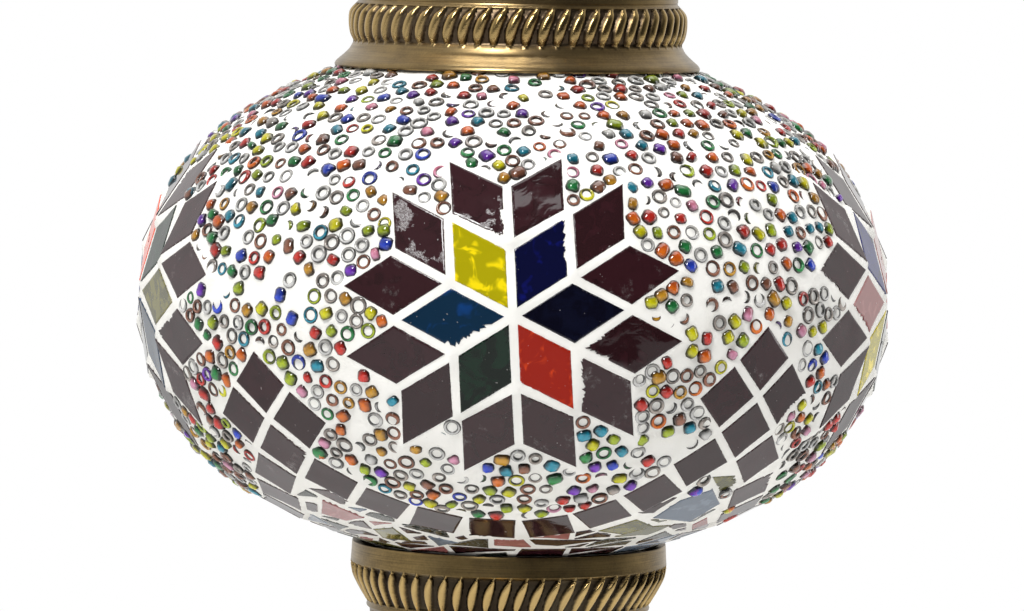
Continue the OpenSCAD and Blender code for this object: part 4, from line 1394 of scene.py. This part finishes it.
class LAMP_OT_cup(bpy.types.Operator):
    """Make the fluted brass cup that holds the globe"""

    bl_idname = "lamp.cup"
    bl_label = "Cup"

    def execute(self, context):
        brass = settings().brass
        low, high = heights("globe_cup")
        lip_in, lip = reach("globe_cup", high)
        bore, foot = reach("globe_cup", low)
        wall = lip - lip_in
        flute_top = high - 5.2 * MM
        flute_h = 8.3 * MM
        flute_low = flute_top - flute_h
        waist = lip - 4.3 * MM
        bowl = [
            (foot + (waist - foot) * math.sin(t), low + 1 * MM + (flute_low - low - 4 * MM) * (1 - math.cos(t)))
            for t in np.radians(np.arange(10, 91, 10))
        ]
        ring = beside((waist, flute_low), (0.1, -1.9), (0.8, -1.3), (0.7, -0.7), (0.5, -0.3))
        fluted = [(waist + 1.0 * MM, flute_low), (lip - 1.7 * MM, flute_low + 0.32 * flute_h),
                  (lip - 0.2 * MM, flute_low + 0.68 * flute_h), *beside((lip, flute_top), (0.25, -0.6), (0.2, -0.1))]
        rim = beside((lip, flute_top), (0.3, 0.2), (0.15, 2.2)) + beside((lip, high), (0, -0.3), (-0.2, 0))
        inside = fine(
            [(lip_in, high), (lip_in, flute_top), (waist - wall, flute_low - 1.5 * MM),
             *beside((foot, low), (3, 4), (0, 2.5)), *beside((bore, low), (0, 2.5), (0, 0))],
            5 * MM,
            closed=False,
        )
        flutes = Lobes(brass.cup_lobes, flute_low - 0.2 * MM, flute_top + 0.4 * MM, brass.lobe_depth, 0.7, 0.66, 0.75,
                       0.12, waist - 0.2 * MM)
        gadroons = Lobes(30, low + 1.5 * MM, flute_low - 3.2 * MM, 0.9 * MM, 0.5, 0.9, 0.5, 0, foot + 0.2 * MM)
        parts = ([(foot, low)], bent(bowl, 34), bent(ring, 8), bent(fluted, 28), bent(rim, 14), inside)
        finish = antique_brass("antique_brass_cup", 0.30)
        spun("globe_cup", finish, parts, brass.cup_lobes * LOBE_COLUMNS, Bands(flutes, gadroons), 0.42)
        return {"FINISHED"}


# How far the neck of the stem draws in
NECK_WAIST = 3.5 * MM


class LAMP_OT_stem(bpy.types.Operator):
    """Turn the stem: collars, vase and neck"""

    bl_idname = "lamp.stem"
    bl_label = "Stem"

    def execute(self, context):
        finish = antique_brass("antique_brass_stem")
        self.collars(finish)
        self.vase(finish)
        self.neck(finish)
        return {"FINISHED"}

    @staticmethod
    def collars(finish):
        """Three round collars roped with leaning lobes."""
        for node, lobes in (("stem_foot_collar", 36), ("stem_middle_collar", 30), ("stem_top_collar", 32)):
            low, high = heights(node)
            bore, wide = reach(node)
            tall = high - low
            bead = tall * 0.36
            angle = np.radians(np.linspace(-78, 78, 18))
            side = np.stack([wide - bead + bead * np.cos(angle), low + tall / 2 + bead * np.sin(angle)], -1)
            parts = ([(bore, low), (wide - 2 * MM, low)], side, [(wide - 2 * MM, high), (bore, high)])
            rope = Lobes(lobes, low + tall * 0.12, high - tall * 0.12, 0.55 * MM, 0.7, 0.85, 0.4, 0, wide - 2 * bead)
            spun(node, finish, parts, lobes * 10, rope)

    @staticmethod
    def vase(finish):
        """Full-bellied vase with long leaning gadroons on its belly."""
        low, high = heights("stem_vase")
        bore, wide = reach("stem_vase")
        neck = reach("stem_neck")[1] - NECK_WAIST
        tall = high - low
        t = np.linspace(0, 1, 60)
        swell = np.maximum(np.sin(math.pi * t**1.25), 0) ** 1.4
        side = np.stack([neck + (wide - neck) * swell, low + 1.5 * MM + (tall - 3 * MM) * t], -1)
        parts = ([(bore, low), *beside((neck, low), (2.5, 0), (2.5, 1.5))], side[2:-2],
                 [*beside((neck, high), (2, -1.5), (2, 0)), (bore, high)])
        gadroons = Lobes(18, low + 0.14 * tall, low + 0.80 * tall, 1.0 * MM, 0.9, 0.9, 0.4, 0, neck + 0.5 * MM)
        spun("stem_vase", finish, parts, 288, gadroons, 0.45)

    @staticmethod
    def neck(finish):
        """Waisted neck with three turned lines."""
        low, high = heights("stem_neck")
        bore, wide = reach("stem_neck")
        t = np.linspace(0, 1, 50)
        line = sum(np.exp(-(((t - k) / 0.014) ** 2)) for k in (0.44, 0.5, 0.56))
        drawn_in = wide - NECK_WAIST + NECK_WAIST * (2 * t - 1) ** 2
        side = np.stack([drawn_in - 0.35 * MM * line, low + (high - low) * t], -1)
        spun("stem_neck", finish, ([(bore, low)], side, [(bore, high)]), 96, None, 0.55)


class LAMP_OT_foot(bpy.types.Operator):
    """Spin the brass foot, with a roped rim and the hole for the cord's bush"""

    bl_idname = "lamp.foot"
    bl_label = "Foot"

    def execute(self, context):
        low, high = heights("base_shell")
        wide = reach("base_shell")[1]
        bore, top = reach("base_shell", high)
        wall = 1.2 * MM
        rim = low + 13 * MM
        t = np.linspace(0, 1, 44)
        slope = np.stack([
            top + 2 * MM + (wide - top - 6 * MM) * (1 - t) ** 2.2,
            rim + 2.5 * MM + (high - rim - 4 * MM) * t,
        ], -1)
        outer = (
            fine(beside((wide, low), (0, 0), (0, 1.6)), 0.8 * MM, closed=False),
            fine(beside((wide, low), (-0.1, 2.2)) + beside((wide, rim), (-0.1, -1.2)), 0.6 * MM, closed=False),
            beside((wide, rim), (0, -0.6), (-0.4, 0.4), (-1.8, 1.6)),
            slope,
            beside((top, high), (0.4, -0.6), (0, 0)),
        )
        inner = fine(
            [(top - wall, high - wall), *beside((top, high), (3, -4)), (wide * 0.62, rim + 1.2 * MM),
             *beside((wide, rim), (-4, 0.3)), *beside((wide - wall, rim), (-0.4, -1)), (wide - wall, low)],
            6 * MM,
            closed=False,
        )
        rope = Lobes(96, low + 1.8 * MM, rim - 0.9 * MM, 0.8 * MM, 0.9, 0.8, 0.45, 0.2, wide - 1.0 * MM)
        leaves = Lobes(24, rim + 2.4 * MM, high - 2.2 * MM, 0.7 * MM, 0.0, 0.95, 0.6, 0, top + 1.5 * MM)
        parts = (*outer, [(bore, high), (bore, high - wall)], inner)
        piece = spun("base_shell", antique_brass("antique_brass_foot"), parts, 960, Bands(rope, leaves), 0.45)
        bush_low, bush_high = heights("cord_inlet_bush")
        radius = (bush_high - bush_low) / 2 - 1.3 * MM
        place = Matrix.Translation((0, wide, (bush_low + bush_high) / 2)) @ Matrix.Rotation(math.pi / 2, 4, "X")
        pierce(piece, [(place, radius)], 8 * MM, 48)
        return {"FINISHED"}


# ---------------------------------------------------------------- glass globe and bulb


class LAMP_OT_blown_glass(bpy.types.Operator):
    """Blow the clear globe under the mosaic, with fire-polished edges"""

    bl_idname = "lamp.blown_glass"
    bl_label = "Glass globe"

    def execute(self, context):
        globe = Globe(settings().globe)
        low, high = heights("glass_globe")
        wide = reach("glass_globe")[1]
        outer_d = globe.width - wide
        hole = reach("glass_globe", low)[0]
        mouth = reach("glass_globe", high)[0]
        arcs = np.linspace(globe.arc_at(hole, -1), globe.arc_at(mouth, 1), 90)
        point, normal, _, _ = globe.place(0 * arcs, arcs)
        thick = 2.8 * MM

        def line(depth):
            moved = point - normal * depth
            return np.stack([-moved[:, 1], moved[:, 2]], -1)

        outer, inner = line(outer_d), line(outer_d + thick)
        middle = line(outer_d + thick / 2)
        round_top = middle[-1:] + (middle[-1:] - middle[-2:-1]) * 0.45
        outline = np.concatenate([outer, round_top, inner[::-1]])
        outline[:, 0] = np.maximum(outline[:, 0], hole)
        piece = turned("blown_glass_globe", outline, 128, None, 0.0, creases=60.0)
        dress(piece, clear_glass("clear_glass"), "clear_glass", stands_for=("glass_globe",))
        return {"FINISHED"}


class LAMP_OT_bulb(bpy.types.Operator):
    """Make the bulb: its glass and its threaded cap"""

    bl_idname = "lamp.bulb"
    bl_label = "Bulb"

    def execute(self, context):
        low, high = heights("bulb_glass")
        radius = reach("bulb_glass")[1]
        centre = high - radius
        neck = reach("bulb_glass", low, 0.6 * MM)[1]
        cap_top = heights("bulb_cap")[1]
        start = math.radians(-34)
        angle = np.linspace(start, math.pi / 2, 34)
        ball = np.stack([radius * np.cos(angle), centre + radius * np.sin(angle)], -1)
        throat = bent([(neck, low), (neck, cap_top), (neck + 1.8 * MM, cap_top + 2.5 * MM),
                       (ball[0, 0] - 2.6 * MM, ball[0, 1] - 3.2 * MM), tuple(ball[0])], 26)
        outer = np.concatenate([throat, ball[1:]])
        wall = 0.8 * MM
        inner = walled(outer, wall)[len(outer):]
        inner[:, 0] = np.maximum(inner[:, 0], 0)
        inner[0] = (0, high - wall)
        piece = turned("bulb_envelope", np.concatenate([outer, inner]), 72, None, 0.0, creases=60.0)
        dress(piece, clear_glass("bulb_glass", (0.99, 0.99, 0.98), 0.0), "bulb_glass", "bulb", ("bulb_glass",))
        self.screw_cap()
        return {"FINISHED"}

    @staticmethod
    def screw_cap():
        """Threaded shell: the radius falls and rises with height minus a turn's share of the pitch."""
        low, high = heights("bulb_cap")
        wide, pitch = reach("bulb_cap")[1], 2.82 * MM
        outer = fine([(wide, low + 1 * MM), (wide, high)], 0.28 * MM, closed=False)
        outline = np.concatenate([
            [(wide - 2.2 * MM, low), (wide - 0.9 * MM, low + 0.1 * MM)],
            outer,
            [(wide - 0.9 * MM, high), (wide - 0.9 * MM, low + 1.4 * MM), (wide - 2.2 * MM, low + 0.6 * MM)],
        ])

        class Thread:
            """Rounded thread cut inwards from the outer wall."""

            def __call__(self, a, r, z):
                wave = 0.5 - 0.5 * np.cos(TAU * (z - low) / pitch - a)
                inside = np.clip((z - low - 1.2 * MM) / MM, 0, 1) * np.clip((high - 2 * MM - z) / MM, 0, 1)
                return -0.55 * MM * wave * inside * (r > wide - 0.1 * MM)

            def polish(self, a, r, z, worn):
                return worn + 0 * a

        piece = turned("bulb_screw_cap", outline, 72, Thread(), 0.8)
        finish = plain_metal("bulb_metal", (0.78, 0.78, 0.77), 0.25)
        dress(piece, finish, "bulb_metal", "bulb", ("bulb_cap",))


class LAMP_OT_fittings(bpy.types.Operator):
    """Give the clamp, the holder, the weight and the small parts their finishes"""

    bl_idname = "lamp.fittings"
    bl_label = "Fittings"

    def execute(self, context):
        steel = plain_metal("zinc_steel", (0.58, 0.58, 0.60), 0.32)
        brass = plain_metal("plain_brass", (0.72, 0.54, 0.24), 0.26)
        rubber = dull("black_rubber", (0.014, 0.014, 0.014), 0.75, 0.5)
        resin = dull("black_resin", (0.016, 0.016, 0.017), 0.38, 0.3, 0.04)
        tip = plain_metal("solder_tip", (0.66, 0.66, 0.67), 0.35)
        stem = clear_glass("stem_glass", (0.97, 0.98, 0.97), 0.0)
        groups = {
            steel: ("base_washer", "base_nut", "lamp_pipe", "cup_spacer", "glass_washer", "glass_nut",
                    "terminal_screws", "finial_screw", "finial_nut"),
            brass: ("screw_shell", "centre_contact", "cap_clips", "clip_rivets"),
            rubber: ("cord_inlet_bush", "lower_glass_gasket", "upper_glass_gasket"),
            resin: ("holder_cap", "holder_shell", "bulb_insulator"),
            tip: ("bulb_tip_contact",),
            stem: ("bulb_stem",),
            porcelain("porcelain"): ("holder_core",),
            phosphor("filament_yellow"): ("bulb_filaments",),
            cast_iron("cast_iron"): ("base_weight",),
            felt("felt"): ("felt_pad",),
        }
        for finish, nodes in groups.items():
            for node in nodes:
                paint(node, finish)
        return {"FINISHED"}


# ---------------------------------------------------------------- studio


# Each soft light's name, place with its height over the globe's widest line, size, watts and
# the collection that it lights, or everything
LIGHTS = (
    ("key", (-0.33, -0.86, 0.96), (0.27, 0.5), 12.0, None),
    ("top", (0.1, 0.1, 1.3), (1.2, 1.2), 14.0, "not_metal"),
    ("side", (1.25, 0.1, 0.2), (0.35, 1.1), 5.0, "not_metal"),
    ("fill", (-0.1, -1.25, -0.30), (1.3, 0.7), 5.5, "chalk"),
    ("front", (-0.36, -1.05, 0.66), (0.12, 0.8), 7.0, "metal"),
    ("over", (-0.14, 0.04, 1.2), (0.12, 0.5), 3.0, "metal"),
)


class LAMP_OT_studio(bpy.types.Operator):
    """Set the floor, the lights, the surroundings and the camera"""

    bl_idname = "lamp.studio"
    bl_label = "Studio"

    def execute(self, context):
        equator = Globe(settings().globe).equator
        self.floor()
        self.surroundings()
        for name in sorted(set(LIT_AS.values())):
            bpy.data.collections.new(name)
        not_metal = bpy.data.collections.new("not_metal")
        not_metal.children.link(bpy.data.collections["metal"])
        not_metal.collection_children[0].light_linking.link_state = "EXCLUDE"
        for name, place, size, power, lit in LIGHTS:
            light = self.soft_light(name, place, size, power, equator)
            if lit:
                light.light_linking.receiver_collection = bpy.data.collections[lit]
        self.camera(equator)
        scene = context.scene
        scene.view_settings.view_transform = "Standard"
        scene.view_settings.look = "None"
        return {"FINISHED"}

    @staticmethod
    def floor():
        """Round pale floor that ends out of the camera's sight behind the lamp."""
        radius, columns = 1.15, 96
        angle = np.arange(columns) * TAU / columns
        rim = np.stack([radius * np.cos(angle), radius * np.sin(angle), 0 * angle], -1)
        rings = np.stack([rim * share for share in (0.0, 0.5, 1.0)] + [rim - (0, 0, 0.01), rim * 0 - (0, 0, 0.01)])
        piece = put_mesh("studio_floor", rings.reshape(-1, 3), grid_faces(len(rings), columns, False))
        f = Finish("pale_floor", roughness=0.85)
        away = f.add("ShaderNodeVectorMath", {"operation": "LENGTH"}, {0: f.place()}, out=1)
        pale = f.mix(f.noise(40.0), (0.86, 0.86, 0.85), (0.84, 0.84, 0.83))
        f.feed("Base Color", f.mix(away.step(190.0, 420.0), pale, (0.60, 0.60, 0.60)))
        piece.data.materials.append(f.material)

    @staticmethod
    def surroundings():
        """Pale behind and to the left, dark in front, to the right and overhead, white to the camera."""
        world = bpy.data.worlds.new("studio")
        bpy.context.scene.world = world
        world.use_nodes = True
        world.node_tree.nodes.clear()
        w = Nodes(world.node_tree)
        where = w.add("ShaderNodeTexCoord")
        facing = w.add("ShaderNodeVectorMath", {"operation": "DOT_PRODUCT"}, {0: where, 1: (-0.42, 0.90, 0.0)}, 1)
        stops = [(0.0, (0.03, 0.03, 0.032)), (0.20, (0.10, 0.10, 0.10)), (0.45, (0.50, 0.50, 0.49)),
                 (0.70, (0.95, 0.95, 0.94))]
        shade = w.add("ShaderNodeValToRGB", {"stops": stops}, {0: facing * 0.5 + 0.5})
        height = w.add("ShaderNodeSeparateXYZ", {}, {0: where}, 2)
        around_light = w.add("ShaderNodeBackground", {}, {0: shade, 1: 1 - 0.75 * height.step(0.80, 0.97)})
        seen = w.add("ShaderNodeBackground", {}, {0: (1, 1, 1), 1: 1.0})
        to_camera = w.add("ShaderNodeLightPath")
        both = w.add("ShaderNodeMixShader", {}, {0: to_camera, 1: around_light, 2: seen})
        w.add("ShaderNodeOutputWorld", {}, {0: both})

    @staticmethod
    def soft_light(name, place, size, power, equator):
        """Rectangular soft light that faces the middle of the globe."""
        light = bpy.data.lights.new(f"light_{name}", "AREA")
        light.shape, light.size, light.size_y, light.energy = "RECTANGLE", *size, power
        lamp = bpy.data.objects.new(f"light_{name}", light)
        lamp.location = (place[0], place[1], equator + place[2])
        lamp.rotation_mode = "QUATERNION"
        lamp.rotation_quaternion = (Vector((0, 0, equator)) - lamp.location).to_track_quat("-Z", "Y")
        bpy.context.scene.collection.objects.link(lamp)
        return lamp

    @staticmethod
    def camera(equator):
        """Long lens a little above the globe, looking slightly down."""
        studio = settings().studio
        data = bpy.data.cameras.new("camera")
        data.lens, data.sensor_width = studio.lens, 36.0
        data.clip_start, data.clip_end = 0.05, 50.0
        camera = bpy.data.objects.new("camera", data)
        upright = Matrix.Rotation(math.pi / 2 - studio.pitch, 4, "X")
        camera.matrix_world = (
            Matrix.Translation((0, -studio.distance, equator + studio.rise))
            @ Matrix.Rotation(studio.yaw, 4, "Z")
            @ upright
            @ Matrix.Rotation(studio.roll, 4, "Z")
        )
        bpy.context.scene.collection.objects.link(camera)
        bpy.context.scene.camera = camera


# ---------------------------------------------------------------- add-on


class LampSettings(bpy.types.PropertyGroup):
    """All settings of the lamp."""

    globe: bpy.props.PointerProperty(type=GlobeSettings)
    beads: bpy.props.PointerProperty(type=BeadSettings)
    brass: bpy.props.PointerProperty(type=BrassSettings)
    studio: bpy.props.PointerProperty(type=StudioSettings)


STEPS = (
    LAMP_OT_studio,
    LAMP_OT_tiles,
    LAMP_OT_beads,
    LAMP_OT_grout,
    LAMP_OT_blown_glass,
    LAMP_OT_cap,
    LAMP_OT_cup,
    LAMP_OT_stem,
    LAMP_OT_foot,
    LAMP_OT_bulb,
    LAMP_OT_fittings,
)


class LAMP_PT_panel(bpy.types.Panel):
    """Panel that lists the lamp's steps."""

    bl_label = "Mosaic Lamp"
    bl_idname = "LAMP_PT_panel"
    bl_space_type = "VIEW_3D"
    bl_region_type = "UI"
    bl_category = "Lamp"

    def draw(self, context):
        for step in STEPS:
            self.layout.operator(step.bl_idname)


CLASSES = (GlobeSettings, BeadSettings, BrassSettings, StudioSettings, LampSettings, *STEPS, LAMP_PT_panel)


def register():
    """Registers the classes and the settings."""
    for one in CLASSES:
        bpy.utils.register_class(one)
    bpy.types.Scene.mosaic_lamp = bpy.props.PointerProperty(type=LampSettings)


def unregister():
    """Removes the settings and the classes."""
    del bpy.types.Scene.mosaic_lamp
    for one in reversed(CLASSES):
        bpy.utils.unregister_class(one)


def main():
    """Makes the whole scene."""
    register()
    for step in STEPS:
        group, name = step.bl_idname.split(".")
        getattr(getattr(bpy.ops, group), name)()


if __name__ == "__main__":
    main()
